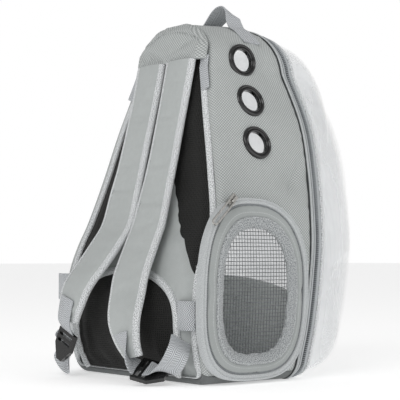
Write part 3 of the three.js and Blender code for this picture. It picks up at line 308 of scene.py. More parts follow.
def strip_freedom(rows, columns, sewn_columns, end_rows=2):
    """Freedom of a strip mesh whose points run rows by columns: none at the sewn columns and the ends."""
    free = np.ones((rows, columns))
    free[:, sewn_columns] = 0
    free[:end_rows] = 0
    free[rows - end_rows:] = 0
    return free


# %% [markdown]
# ## Weaves as shader groups
# The bag shows four cloths: dotted oxford, speckled binding tape, herringbone webbing and open air mesh.
# Each is built once as a node group that reads the metre-true UV map and puts out masks and heights.
# The Principled shader stays in each material, so the finishes can be tuned one by one.

# %% Node helpers
def new_group(name, inputs, outputs):
    group = bpy.data.node_groups.new(name, "ShaderNodeTree")
    for label, kind, value in inputs:
        socket = group.interface.new_socket(name=label, in_out="INPUT", socket_type=kind)
        if value is not None:
            socket.default_value = value
    for label, kind in outputs:
        group.interface.new_socket(name=label, in_out="OUTPUT", socket_type=kind)
    return group, group.nodes.new("NodeGroupInput"), group.nodes.new("NodeGroupOutput")


def connect(tree, source, target):
    if isinstance(source, (int, float)):
        target.default_value = source
    elif isinstance(source, (tuple, list)):
        target.default_value = source
    else:
        tree.links.new(source, target)


def math_node(tree, operation, a, b=None, c=None, clamp=False):
    node = tree.nodes.new("ShaderNodeMath")
    node.operation = operation
    node.use_clamp = clamp
    for socket, value in zip(node.inputs, (a, b, c)):
        if value is not None:
            connect(tree, value, socket)
    return node.outputs[0]


def noise_node(tree, vector, scale, detail=3.0, roughness=0.55):
    node = tree.nodes.new("ShaderNodeTexNoise")
    node.inputs["Scale"].default_value = scale
    node.inputs["Detail"].default_value = detail
    node.inputs["Roughness"].default_value = roughness
    if vector is not None:
        tree.links.new(vector, node.inputs["Vector"])
    return node.outputs["Fac"]


def ramp(tree, value, low, high, to_low=0.0, to_high=1.0):
    node = tree.nodes.new("ShaderNodeMapRange")
    node.interpolation_type = "SMOOTHSTEP"
    for label, number in (("From Min", low), ("From Max", high), ("To Min", to_low), ("To Max", to_high)):
        connect(tree, number, node.inputs[label])
    tree.links.new(value, node.inputs["Value"])
    return node.outputs["Result"]


def mix_colours(tree, share, first, second):
    node = tree.nodes.new("ShaderNodeMix")
    node.data_type = "RGBA"
    connect(tree, share, node.inputs["Factor"])
    connect(tree, first, node.inputs["A"])
    connect(tree, second, node.inputs["B"])
    return node.outputs["Result"]


def split(tree, vector):
    node = tree.nodes.new("ShaderNodeSeparateXYZ")
    tree.links.new(vector, node.inputs[0])
    return node.outputs[0], node.outputs[1]


VECTOR, FLOAT = "NodeSocketVector", "NodeSocketFloat"


# %% Oxford cloth: dots where the doubled yarns cross
def oxford_group():
    group, given, made = new_group("Oxford weave", [("Vector", VECTOR, None), ("Pitch", FLOAT, 0.0016)],
                                   [("Height", FLOAT), ("Dots", FLOAT)])
    x, y = split(group, given.outputs["Vector"])
    turn = math_node(group, "DIVIDE", 2 * math.pi, given.outputs["Pitch"])
    wave_x = math_node(group, "SINE", math_node(group, "MULTIPLY", x, turn))
    wave_y = math_node(group, "SINE", math_node(group, "MULTIPLY", y, turn))
    product = math_node(group, "MULTIPLY", wave_x, wave_y)
    height = math_node(group, "MULTIPLY_ADD", product, 0.5, 0.5)
    group.links.new(height, made.inputs["Height"])
    group.links.new(ramp(group, height, 0.3, 0.8), made.inputs["Dots"])
    return group


# %% Herringbone webbing: slanted yarns that turn back at each narrow column
def herringbone_group():
    group, given, made = new_group("Herringbone weave", [("Vector", VECTOR, None), ("Pitch", FLOAT, 0.0022),
                                                         ("Column", FLOAT, 0.005)],
                                   [("Height", FLOAT), ("Dark", FLOAT)])
    x, y = split(group, given.outputs["Vector"])
    zigzag = math_node(group, "PINGPONG", y, given.outputs["Column"])
    slanted = math_node(group, "ADD", x, zigzag)
    turn = math_node(group, "DIVIDE", 2 * math.pi, given.outputs["Pitch"])
    wave = math_node(group, "SINE", math_node(group, "MULTIPLY", slanted, turn))
    height = math_node(group, "MULTIPLY_ADD", wave, 0.5, 0.5)
    group.links.new(height, made.inputs["Height"])
    group.links.new(ramp(group, height, 0.45, 0.05), made.inputs["Dark"])
    return group


# %% Speckled tape: fine ribs across the binding, flecked light and dark
def speckle_group():
    group, given, made = new_group("Speckled tape", [("Vector", VECTOR, None), ("Pitch", FLOAT, 0.0012)],
                                   [("Height", FLOAT), ("Flecks", FLOAT)])
    x, y = split(group, given.outputs["Vector"])
    turn = math_node(group, "DIVIDE", 2 * math.pi, given.outputs["Pitch"])
    ribs = math_node(group, "SINE", math_node(group, "MULTIPLY", x, turn))
    cross = math_node(group, "SINE", math_node(group, "MULTIPLY", y, math_node(group, "MULTIPLY", turn, 0.8)))
    height = math_node(group, "MULTIPLY_ADD", math_node(group, "MULTIPLY", ribs, cross), 0.4, 0.5)
    flecks = noise_node(group, given.outputs["Vector"], 900.0, 1.0)
    group.links.new(height, made.inputs["Height"])
    group.links.new(ramp(group, flecks, 0.42, 0.6), made.inputs["Flecks"])
    return group


# %% Air mesh: rows of small holes set like a honeycomb
def air_mesh_group():
    group, given, made = new_group("Air mesh", [("Vector", VECTOR, None), ("Holes per metre", FLOAT, 420.0)],
                                   [("Height", FLOAT), ("Hole", FLOAT)])
    cells = group.nodes.new("ShaderNodeTexVoronoi")
    cells.voronoi_dimensions = "2D"
    cells.inputs["Randomness"].default_value = 0.25
    group.links.new(given.outputs["Vector"], cells.inputs["Vector"])
    group.links.new(given.outputs["Holes per metre"], cells.inputs["Scale"])
    group.links.new(ramp(group, cells.outputs["Distance"], 0.2, 0.45), made.inputs["Height"])
    group.links.new(ramp(group, cells.outputs["Distance"], 0.34, 0.2), made.inputs["Hole"])
    return group


# %% A sewn line: dashes at one distance from the strip's edge
def stitch_group():
    group, given, made = new_group("Stitch line", [("Vector", VECTOR, None), ("At", FLOAT, 0.003),
                                                   ("Stitch", FLOAT, 0.0035), ("Width", FLOAT, 0.0005)],
                                   [("Thread", FLOAT), ("Dip", FLOAT)])
    x, y = split(group, given.outputs["Vector"])
    beat = math_node(group, "FRACT", math_node(group, "DIVIDE", x, given.outputs["Stitch"]))
    dash = ramp(group, math_node(group, "ABSOLUTE", math_node(group, "SUBTRACT", beat, 0.5)), 0.42, 0.34)
    away = math_node(group, "ABSOLUTE", math_node(group, "SUBTRACT", y, given.outputs["At"]))
    near = math_node(group, "SUBTRACT", 1.0, math_node(group, "DIVIDE", away, given.outputs["Width"]),
                     clamp=True)
    wide = math_node(group, "MULTIPLY", given.outputs["Width"], 5.0)
    dip = math_node(group, "SUBTRACT", 1.0, math_node(group, "DIVIDE", away, wide), clamp=True)
    group.links.new(math_node(group, "MULTIPLY", dash, near), made.inputs["Thread"])
    group.links.new(dip, made.inputs["Dip"])
    return group


# %% Handling: soft cloudiness and rubbed patches that no new cloth is without
def handling_group():
    group, given, made = new_group("Handling", [("Vector", VECTOR, None), ("Amount", FLOAT, 0.08)],
                                   [("Shade", FLOAT), ("Roughness shift", FLOAT)])
    broad = noise_node(group, given.outputs["Vector"], 14.0, 4.0)
    fine = noise_node(group, given.outputs["Vector"], 160.0, 2.0)
    both = math_node(group, "MULTIPLY_ADD", fine, 0.4, math_node(group, "MULTIPLY", broad, 0.6))
    centred = math_node(group, "SUBTRACT", both, 0.5)
    shade = math_node(group, "MULTIPLY_ADD", centred,
                      math_node(group, "MULTIPLY", given.outputs["Amount"], 4.0), 1.0)
    group.links.new(shade, made.inputs["Shade"])
    group.links.new(math_node(group, "MULTIPLY", centred, given.outputs["Amount"]),
                    made.inputs["Roughness shift"])
    return group


WEAVES = {
    "oxford": oxford_group(),
    "herringbone": herringbone_group(),
    "speckle": speckle_group(),
    "air": air_mesh_group(),
    "stitch": stitch_group(),
    "handling": handling_group(),
}
print("shader groups", ", ".join(WEAVES))

# %% [markdown]
# ## Cloth finishes
# A cloth material mixes a thread colour with a darker one between the yarns, lets broad handling marks
# shade it, and raises the yarns with a Bump node. Sewn lines are added from the same UV map.


# %% Cloth material
def use_group(tree, name, vector, **values):
    node = tree.nodes.new("ShaderNodeGroup")
    node.node_tree = WEAVES[name]
    tree.links.new(vector, node.inputs["Vector"])
    for label, value in values.items():
        node.inputs[label.replace("_", " ")].default_value = value
    return node


def srgb(r, g, b):
    def linear(v):
        v /= 255
        return v / 12.92 if v <= 0.04045 else ((v + 0.055) / 1.055) ** 2.4
    return (linear(r), linear(g), linear(b), 1.0)


def shader(material, roughness, metallic=0.0, **values):
    material.use_nodes = True
    node = material.node_tree.nodes["Principled BSDF"]
    node.inputs["Roughness"].default_value = roughness
    node.inputs["Metallic"].default_value = metallic
    for label, value in values.items():
        node.inputs[label.replace("_", " ")].default_value = value
    return material.node_tree, node


def cloth(name, weave, light, dark, dark_share=0.5, relief=0.25, roughness=0.85, stitches=(), thread=None,
          sheen=0.15, handling=0.07, **weave_values):
    material = bpy.data.materials.new(name)
    tree, principled = shader(material, roughness, Sheen_Weight=sheen, Sheen_Roughness=0.5,
                              Specular_IOR_Level=0.25)
    uv = tree.nodes.new("ShaderNodeUVMap")
    uv.uv_map = "UVMap"
    place = tree.nodes.new("ShaderNodeTexCoord").outputs["Object"]
    woven = use_group(tree, weave, uv.outputs[0], **weave_values)
    mask = woven.outputs[1]
    if weave == "oxford":
        mask = math_node(tree, "SUBTRACT", 1.0, mask)
    colour = mix_colours(tree, math_node(tree, "MULTIPLY", mask, dark_share), light, dark)
    worn = use_group(tree, "handling", place, Amount=handling)
    height = woven.outputs["Height"]
    for at in stitches:
        sewn = use_group(tree, "stitch", uv.outputs[0], At=at)
        colour = mix_colours(tree, sewn.outputs["Thread"], colour, thread or light)
        pulled = math_node(tree, "MULTIPLY", sewn.outputs["Dip"], -1.6)
        raised = math_node(tree, "MULTIPLY", sewn.outputs["Thread"], 1.2)
        height = math_node(tree, "ADD", height, math_node(tree, "ADD", pulled, raised))
    shaded = tree.nodes.new("ShaderNodeVectorMath")
    shaded.operation = "SCALE"
    tree.links.new(colour, shaded.inputs[0])
    tree.links.new(worn.outputs["Shade"], shaded.inputs["Scale"])
    tree.links.new(shaded.outputs[0], principled.inputs["Base Color"])
    rough = math_node(tree, "ADD", roughness, worn.outputs["Roughness shift"], clamp=True)
    tree.links.new(rough, principled.inputs["Roughness"])
    bump = tree.nodes.new("ShaderNodeBump")
    bump.inputs["Strength"].default_value = 0.6
    bump.inputs["Distance"].default_value = relief * MM
    tree.links.new(height, bump.inputs["Height"])
    tree.links.new(bump.outputs["Normal"], principled.inputs["Normal"])
    return material


GREY, GREY_DARK = srgb(202, 205, 204), srgb(148, 152, 151)
TAPE, TAPE_DARK = srgb(238, 240, 241), srgb(140, 144, 145)
FINISH = {
    "oxford": cloth("grey oxford cloth", "oxford", GREY, GREY_DARK, 1.0, 0.3, Pitch=0.0036),
    "pad cloth": cloth("grey pad cloth", "oxford", srgb(188, 192, 191), srgb(156, 160, 159), 0.5, 0.12,
                       Pitch=0.0016),
    "door cloth": cloth("grey door cloth", "oxford", srgb(172, 176, 175), srgb(142, 146, 145), 0.55, 0.15,
                        Pitch=0.0018, stitches=(0.0135,), thread=srgb(196, 199, 199)),
    # The base pieces take a darker grey than the sides.
    "under cloth": cloth("base in darker grey", "oxford", srgb(118, 121, 121), srgb(84, 87, 87), 0.6, 0.2,
                         Pitch=0.002),
    # painted light: the lining is near-white so that the dim inside of the bag, seen through the net and
    # eyelets, reads as lit
    "lining": cloth("lining cloth painted light", "oxford", srgb(240, 242, 242), srgb(222, 225, 225), 0.4, 0.08,
                    Pitch=0.002),
    "tape": cloth("speckled binding tape", "speckle", TAPE, TAPE_DARK, 0.85, 0.25, stitches=(0.0035,),
                  thread=srgb(224, 226, 226)),
    "binding cloth": cloth("soft binding cloth", "speckle", srgb(186, 189, 190), srgb(98, 102, 104), 0.85,
                           0.3,
                           stitches=(0.004,), thread=srgb(206, 209, 209), Pitch=0.002),
    "piping": cloth("pale piping cloth", "speckle", srgb(196, 199, 200), srgb(150, 154, 155), 0.5, 0.2),
    "zip tape": cloth("zip tape", "speckle", srgb(184, 188, 190), srgb(140, 144, 147), 0.45, 0.2,
                      Pitch=0.0016),
    # painted shadow: a near-black tape laid in seams and zip gaps where shade falls
    "shadow tape": cloth("dark zip shadow tape", "speckle", srgb(62, 65, 66), srgb(36, 38, 39), 0.5, 0.2),
    "webbing": cloth("herringbone webbing", "herringbone", srgb(208, 211, 214), srgb(84, 88, 92), 0.85, 0.5,
                     Pitch=0.0026),
    "air mesh": cloth("black air mesh", "air", srgb(42, 42, 41), srgb(6, 6, 6), 1.0, 0.9, roughness=0.92,
                      sheen=0.05),
    "net": cloth("grey net", "speckle", srgb(104, 107, 109), srgb(80, 83, 85), 0.4, 0.1),
}
print(len(FINISH), "cloth finishes")

# %% [markdown]
# ## Hard finishes
# Moulded black plastic has a faint orange-peel and a roughness that varies a little over it, the slider is
# plated
# and scuffed, and the dome is clear sheet: mostly see-through with a milky body, so it shows against a white
# wall.


# %% Plastic, metal and clear sheet
def moulded(name, colour, roughness):
    material = bpy.data.materials.new(name)
    tree, principled = shader(material, roughness, Specular_IOR_Level=0.6, Coat_Weight=0.25,
                              Coat_Roughness=0.12)
    place = tree.nodes.new("ShaderNodeTexCoord").outputs["Object"]
    worn = use_group(tree, "handling", place, Amount=0.12)
    peel = noise_node(tree, place, 1400.0, 2.0)
    lighter = tuple(min(1.0, v * 2.2 + 0.01) for v in colour[:3]) + (1.0,)
    tree.links.new(mix_colours(tree, ramp(tree, peel, 0.45, 0.75, 0.0, 0.35), colour, lighter),
                   principled.inputs["Base Color"])
    rough = math_node(tree, "ADD", roughness, worn.outputs["Roughness shift"], clamp=True)
    tree.links.new(rough, principled.inputs["Roughness"])
    bump = tree.nodes.new("ShaderNodeBump")
    bump.inputs["Strength"].default_value = 0.25
    bump.inputs["Distance"].default_value = 0.08 * MM
    tree.links.new(peel, bump.inputs["Height"])
    tree.links.new(bump.outputs["Normal"], principled.inputs["Normal"])
    return material


def plated(name):
    material = bpy.data.materials.new(name)
    tree, principled = shader(material, 0.28, 1.0)
    place = tree.nodes.new("ShaderNodeTexCoord").outputs["Object"]
    scuffs = noise_node(tree, place, 700.0, 4.0)
    dull = mix_colours(tree, ramp(tree, scuffs, 0.4, 0.7), srgb(196, 194, 190), srgb(140, 139, 136))
    tree.links.new(dull, principled.inputs["Base Color"])
    tree.links.new(ramp(tree, scuffs, 0.3, 0.8, 0.2, 0.42), principled.inputs["Roughness"])
    return material


def clear_sheet(name):
    """Milky where it is seen square on, clearer towards the silhouette, with a glossy coat."""
    material = bpy.data.materials.new(name)
    tree, principled = shader(material, 0.08, Transmission_Weight=0.12, IOR=1.2, Alpha=0.5,
                              Specular_IOR_Level=0.5, Coat_Weight=0.5, Coat_Roughness=0.03)
    principled.inputs["Base Color"].default_value = srgb(240, 242, 244)
    place = tree.nodes.new("ShaderNodeTexCoord").outputs["Object"]
    streaks = tree.nodes.new("ShaderNodeVectorMath")
    streaks.operation = "MULTIPLY"
    streaks.inputs[1].default_value = (30.0, 30.0, 5.0)
    tree.links.new(place, streaks.inputs[0])
    haze = noise_node(tree, streaks.outputs[0], 1.0, 4.0)
    tree.links.new(ramp(tree, haze, 0.3, 0.8, 0.05, 0.12), principled.inputs["Roughness"])
    facing = tree.nodes.new("ShaderNodeLayerWeight")
    facing.inputs["Blend"].default_value = 0.5
    body = ramp(tree, facing.outputs["Facing"], 0.3, 0.95, 0.42, 0.06)
    cloudy = ramp(tree, haze, 0.35, 0.7, -0.07, 0.08)
    seen = tree.nodes.new("ShaderNodeLightPath").outputs["Is Camera Ray"]
    share = ramp(tree, seen, 0, 1, 0.15, 1.0)
    milky = math_node(tree, "MULTIPLY", math_node(tree, "ADD", body, cloudy, clamp=True), share)
    tree.links.new(milky, principled.inputs["Alpha"])
    waves = noise_node(tree, place, 9.0, 1.0)
    bump = tree.nodes.new("ShaderNodeBump")
    bump.inputs["Strength"].default_value = 0.15
    bump.inputs["Distance"].default_value = 2.0 * MM
    tree.links.new(waves, bump.inputs["Height"])
    tree.links.new(bump.outputs["Normal"], principled.inputs["Normal"])
    return material


BLACK = moulded("black moulded plastic", srgb(14, 14, 14), 0.16)
TEETH = moulded("grey zip teeth", srgb(150, 154, 157), 0.45)
METAL = plated("plated slider metal")
CLEAR = clear_sheet("clear dome sheet")
print("hard finishes ready")

# %% [markdown]
# ## The body's cloth
# One long strip of cloth runs round the outline as the gusset. Its back edge turns over a soft corner and
# ends under the light binding. The window and the eyelets are cut out of it: faces that lie well under the
# door panel or a ring are left away, so the cut edge itself never shows.

# %% Places on the left side and on the back
WALL = 3.0


def side_point(y, z, out=0.0):
    y, z, out = (np.asarray(v, float) for v in (y, z, out))
    slope = (half_width_at(z + 2) - half_width_at(z - 2)) / 4
    length = np.hypot(1, slope)
    back, front = back_at(z), front_at(z)
    depth = np.clip((back - y) / (back - front), 0, 1)
    width = half_width_at(z)
    flare = FLARE * depth * width / (width + BASE_CORNER)
    parts = np.broadcast_arrays(-(width + flare + out / length), y, z - slope * out / length)
    return np.stack(parts, axis=-1)


def back_point(x, z, out=0.0):
    parts = np.broadcast_arrays(np.asarray(x, float), back_at(z) + np.asarray(out), np.asarray(z, float))
    return np.stack(parts, axis=-1)


DOOR = {"half_width": 77.6, "half_height": 99.5, "y": 6.6, "z": 103.7}
WINDOW = {"half_width": 47.0, "half_height": 69.0, "y": 4.0, "z": 102.0}
TOP_POWER, BOTTOM_POWER = 2.5, 3.1


def inside_edge(edge, y, z, inset=0.0):
    across = np.abs((y - edge["y"]) / (edge["half_width"] - inset))
    up = (z - edge["z"]) / (edge["half_height"] - inset)
    power = np.where(up >= 0, TOP_POWER, BOTTOM_POWER)
    return across ** power + np.abs(up) ** power < 1


EYELETS = {"top": (-34.8, 370.44), "middle": (-34.8, 321.3), "bottom": (-30.0, 270.9)}

# %% Gusset strip
lengths = np.linspace(0, OUTLINE_LENGTH / 2, 2000)
CORNER_HEIGHT = 9.0
BORDER = 11.5
gusset_start = float(lengths[np.argmax(outline_at(lengths)[1] > CORNER_HEIGHT)])


def fold_rows(s, depths):
    """Rows from the back border over the rounded edge and forward to the front seam."""
    turn = np.clip(-outline_at(s, 1.0)[1] + outline_at(s)[1], 0, 1)
    border = BORDER - (BORDER - 7) * turn
    rows = []
    for share, ahead in ((1, 0.8), (0.85, -0.4), (0.6, -0.7), (0.4, -0.4), (0.24, 0.1), (0.12, 0.9),
                         (0.04, 2.2)):
        rows.append(skin(s, 0.0, -border * share, ahead))
    for depth in depths:
        swell = 1.6 * math.sin(math.pi * min(depth, 1.0)) ** 0.7
        rows.append(skin(s, 0.025 + 0.975 * depth, swell * (1 - turn)))
    return np.stack(rows, axis=1)


def soften_cloth(points, amount, seed):
    """Slow waves over the whole strip, short puckers at both seams and one soft dent on the left side."""
    count = points.shape[1]
    flat = points.reshape(-1, 3)
    x, z = flat[:, 0], flat[:, 2]
    away = np.stack([x, np.zeros_like(x), (z - 160) * 0.55], axis=1)
    away /= np.linalg.norm(away, axis=1, keepdims=True) + 1e-9
    waves = amount * ripple(flat, 70, seed)
    share = np.tile(np.linspace(0, 1, count), points.shape[0])
    seam = np.exp(-((share - 1) / 0.05) ** 2) + np.exp(-((share - 0.14) / 0.04) ** 2)
    puckers = 0.45 * seam * ripple(flat, 11, seed + 1)
    dent = np.exp(-((flat[:, 1] + 70) / 19) ** 2 - ((z - 230) / 15) ** 2) * (x < 0)
    crease = np.exp(-((flat[:, 1] + 74 + (z - 228) * 0.8) / 4) ** 2 - ((z - 228) / 20) ** 2) * (x < 0)
    near_top = np.exp(-((z - 368) / 34) ** 2) * np.clip((share - 0.55) / 0.2, 0, 1) * (1 - seam)
    folds = 1.5 * near_top * np.sin((flat[:, 1] + 0.35 * (z - 368)) / 5.2 + 2.0 * np.sin(z / 23))
    moved = flat + away * (waves + puckers + folds - 6.5 * dent - 2.6 * crease)[:, None]
    return moved.reshape(points.shape)


def open_cells(points):
    """True for the cells that stay cloth."""
    middle = (points[:-1, :-1] + points[1:, 1:]) / 2
    y, z = middle[..., 1], middle[..., 2]
    left = middle[..., 0] < 0
    gone = left & inside_edge(WINDOW, y, z, -6.0)
    for at_y, at_z in EYELETS.values():
        slope = (half_width_at(at_z + 2) - half_width_at(at_z - 2)) / 4
        tilt = math.hypot(1, float(slope))
        gone |= left & (np.hypot(y - at_y, (z - at_z) * tilt) < 16.5)
    return ~gone


gusset_lengths = np.linspace(gusset_start, OUTLINE_LENGTH - gusset_start, 430)
gusset_points = soften_cloth(fold_rows(gusset_lengths, np.linspace(0.012, 1, 62)), 1.1, 3)
gusset = piece("gusset_cloth", strip_mesh("gusset_cloth", gusset_points, keep=open_cells(gusset_points)),
               FINISH["oxford"], ("side_panel_left", "side_panel_right"))
thicken(gusset, 1.8, -1.0)
settle(gusset)
base_lengths = np.linspace(-gusset_start - 1.5, gusset_start + 1.5, 130)
base_points = fold_rows(base_lengths, np.linspace(0.012, 1, 40))
base = piece("base_cloth", strip_mesh("base_cloth", base_points), FINISH["under cloth"],
             ("base_panel",))
thicken(base, 2.4, -1.0)
settle(base)
print("gusset", len(gusset.data.polygons), "faces, base", len(base.data.polygons), "faces")

# %% [markdown]
# ## The back
# A board stiffens the back, black air mesh covers it, and a light binding closes the edge. Each of these is
# a sheet whose height above the back is a plain function of the distance to its rim: full in the middle,
# drawn down where the needle passes. That is how foam behind cloth behaves.


# %% Sheets and pads on the back
def inset_width(z, inset):
    """Half width left on the back at a height, measured in from the outline."""
    z = np.asarray(z, float)
    cap_z = CAP_START * BODY_HEIGHT
    rise = np.clip((z - cap_z) / (BODY_HEIGHT - inset - cap_z), 0, 1)
    return (half_width_at(np.minimum(z, cap_z)) - inset) * np.sqrt(1 - rise ** CAP_ROUNDNESS)


def flat_uv(mesh, first=0, second=2):
    """Lays the weave straight on, seen square to two of the axes."""
    layer = mesh.uv_layers.get("UVMap") or mesh.uv_layers.new(name="UVMap")
    places = np.empty(len(mesh.vertices) * 3)
    mesh.vertices.foreach_get("co", places)
    places = places.reshape(-1, 3)
    loops = np.empty(len(mesh.loops), dtype=int)
    mesh.loops.foreach_get("vertex_index", loops)
    layer.data.foreach_set("uv", places[loops][:, [first, second]].astype(np.float32).ravel())
    return mesh


def rim_fade(distance, rim, run):
    t = np.clip((distance - rim) / run, 0, 1)
    return t * t * (3 - 2 * t)


def pad_mesh(name, heights, half_of, inner, edge, outer, rim, run, crown=0.8, columns=40, top_fade=True,
             foot_fade=True, creases=None):
    """A closed pad on the back: a flat inner face and a padded outer one that sinks towards its rim."""
    heights = np.asarray(heights, float)
    half = half_of(heights)
    shares = np.sin(np.linspace(-math.pi / 2, math.pi / 2, columns))
    x = shares[None, :] * half[:, None]
    z = np.repeat(heights[:, None], columns, axis=1)
    to_rim = half[:, None] - np.abs(x)
    if top_fade:
        to_rim = np.minimum(to_rim, heights[-1] - z + rim * 0.3)
    if foot_fade:
        to_rim = np.minimum(to_rim, z - heights[0] + rim * 0.3)
    full = rim_fade(to_rim, rim, run)
    out = edge + (outer - edge) * full + crown * full * (1 - shares[None, :] ** 2)
    if creases is not None:
        out = out + creases(x, z) * full
    front = back_point(x, z, out)
    back = back_point(x, z, np.full_like(out, inner))
    ring = np.concatenate([front, back[:, ::-1]], axis=1)
    mesh = strip_mesh(name, ring, closed_v=True, caps=True)
    return flat_uv(mesh)


def rows_between(low, high, step=3.5):
    return np.linspace(low, high, max(3, int((high - low) / step)))


SURROUND = {"height": [0, 0.38, 0.46, 0.57, 0.67, 0.77, 0.88, 0.96, 1.0],
            "half_width": [0.93, 1.0, 0.98, 0.79, 0.62, 0.5, 0.41, 0.26, 0.1]}
LUMBAR = {"height": [0, 0.18, 0.38, 0.68, 0.84, 0.95, 1.0],
          "half_width": [0.89, 0.98, 1.0, 0.97, 0.8, 0.5, 0.22]}
SURROUND_FOOT, SURROUND_TOP, LUMBAR_FOOT, LUMBAR_TOP = 9.2, 262.0, 10.0, 122.0


def surround_half(z):
    share = (np.asarray(z) - SURROUND_FOOT) / (SURROUND_TOP - SURROUND_FOOT)
    return np.minimum(inset_width(z, 13.5), 118 * read_table(SURROUND, "height", "half_width", share))


def lumbar_half(z):
    return 92 * read_table(LUMBAR, "height", "half_width",
                           (np.asarray(z) - LUMBAR_FOOT) / (LUMBAR_TOP - LUMBAR_FOOT))


def cap_heights(low, inset, step=3.5):
    """Even rows up the back, closer together where the outline rounds over at the top."""
    cap_z = CAP_START * BODY_HEIGHT
    rises = np.sin(np.linspace(0, math.pi / 2, 26))[1:] * (BODY_HEIGHT - inset - cap_z)
    return np.concatenate([rows_between(low, cap_z, step), cap_z + rises[:-1], [BODY_HEIGHT - inset - 0.3]])


# %% Board, mesh and grey surround
# The back lining's near-white finish is painted light for the dim inside of the bag.
lining = piece("back_lining", pad_mesh("back_lining", cap_heights(7.5, 7.5), lambda z: inset_width(z, 8.0),
                                       -6.8, -4.2, -4.2, 3, 4, crown=0.0),
               FINISH["lining"], ("back_board",))


def mesh_waves(x, z):
    return 0.7 * ripple(np.stack([x, x * 0, z], -1).reshape(-1, 3), 46, 8).reshape(x.shape)


back_mesh = piece("back_mesh_cloth", pad_mesh("back_mesh_cloth", cap_heights(95, 14.5),
                                              lambda z: inset_width(z, 14.5),
                                              -3.4, 0.2, 3.4, 3, 12, creases=mesh_waves, foot_fade=False),
                  FINISH["air mesh"], ("back_mesh",))
surround = piece("lumbar_surround_pad", pad_mesh("lumbar_surround_pad",
                                                 rows_between(SURROUND_FOOT, SURROUND_TOP),
                                                 surround_half, -3.2, 0.4, 6.2, 2.5, 15),
                 FINISH["pad cloth"], ("lumbar_surround",))
lumbar = piece("lumbar_pad_mesh", pad_mesh("lumbar_pad_mesh", rows_between(LUMBAR_FOOT, LUMBAR_TOP, 3),
                                           lumbar_half, 7.1, 9.0, 15.0, 6, 24, crown=1.0),
               FINISH["air mesh"], ("lumbar_pad",))
print("back pads", [len(o.data.polygons) for o in (lining, back_mesh, surround, lumbar)])

# %% [markdown]
# ## Bindings
# A binding is a narrow tape folded over a raw edge. Its section is a low arch, and it is swept along the
# edge. The closed ones follow the outline at a given inset, the open one follows the lumbar pad.


# %% Binding along the outline, and along the lumbar pad
def outline_inset(s, inset):
    """The inset at each place: full at the sides and top, small at the foot."""
    turn = np.clip(-outline_at(s, 1.0)[1] + outline_at(s)[1], 0, 1)
    return inset - np.maximum(inset - 6.5, 0) * turn * 0.8


ring_lengths = np.linspace(0, OUTLINE_LENGTH, 560, endpoint=False)


def back_ring(name, section):
    rows = []
    for inset, out in section:
        x, z = outline_at(ring_lengths, -outline_inset(ring_lengths, inset))
        rows.append(back_point(x, z, out))
    return strip_mesh(name, np.stack(rows, axis=1), closed_u=True, closed_v=True)


back_binding = piece("back_binding_tape", back_ring("back_binding_tape", [
    (9.6, 0.5), (9.8, 2.4), (11.0, 3.6), (13.6, 4.3), (16.2, 3.9), (17.4, 2.8), (17.6, 0.5)]),
    FINISH["tape"], ("back_binding",))


def along_path(name, path, section, closed=False):
    """Sweeps a section of (across, out) along a path on the back given by x and z."""
    path = np.asarray(path, float)
    runs = np.gradient(path, axis=0)
    runs /= np.linalg.norm(runs, axis=1, keepdims=True)
    rows = []
    for across, out in section:
        rows.append(back_point(path[:, 0] - runs[:, 1] * across, path[:, 1] + runs[:, 0] * across, out))
    return strip_mesh(name, np.stack(rows, axis=1), closed_u=closed, closed_v=True, caps=not closed)


def even_path(points, step):
    points = np.asarray(points, float)
    steps = np.concatenate([[0], np.cumsum(np.linalg.norm(np.diff(points, axis=0), axis=1))])
    at = np.linspace(0, steps[-1], int(steps[-1] / step) + 1)
    return np.stack([np.interp(at, steps, points[:, k]) for k in range(points.shape[1])], axis=1)


def relax_path(points, passes):
    for _ in range(passes):
        points[1:-1] = (points[:-2] + 2 * points[1:-1] + points[2:]) / 4
    return points


lumbar_z = np.linspace(LUMBAR_FOOT, LUMBAR_TOP, 90)
lumbar_edge = ([(-float(lumbar_half(z)), z) for z in lumbar_z]
               + [(float(lumbar_half(z)), z) for z in lumbar_z[::-1]])
lumbar_path = relax_path(even_path(lumbar_edge, 2.5), 14)
lumbar_binding = piece("lumbar_binding_tape", along_path("lumbar_binding_tape", lumbar_path, [
    (-1.0, 7.6), (-0.8, 10.4), (1.0, 12.0), (3.5, 12.6), (6.0, 12.0), (7.6, 10.6), (7.8, 7.6)]),
    FINISH["tape"], ("lumbar_binding",))
print("bindings", len(back_binding.data.polygons), len(lumbar_binding.data.polygons))

# %% [markdown]
# ## The front band
# Between the grey body and the clear dome lie a round piping, a zip between two tapes, and the dome's
# light flange. All are rings on the same outline, each a little further forward. The zip's coil is built as
# small bars at an even pitch, because evenness is what makes a zip read as a zip.


# %% Rings in front of the seam
def front_ring(name, section, count=620):
    s = np.linspace(0, OUTLINE_LENGTH, count, endpoint=False)
    rows = [skin(s, 1.0, -inset, ahead) for inset, ahead in section]
    return strip_mesh(name, np.stack(rows, axis=1), closed_u=True, closed_v=True)


def rounded(start, width, inset, far_inset, thickness, crown=0.5):
    """A flat tape's section: outer face crowned, edges rounded."""
    rows = []
    for t in (0.0, 0.08, 0.3, 0.5, 0.7, 0.92, 1.0):
        lift = crown * math.sin(math.pi * t) - (0.5 if t in (0.0, 1.0) else 0.0)
        rows.append((inset + (far_inset - inset) * t - lift, start + width * t))
    rows += [(far_inset + thickness, start + width), (inset + thickness, start)]
    return [(max(a, -1.9), b) for a, b in rows]


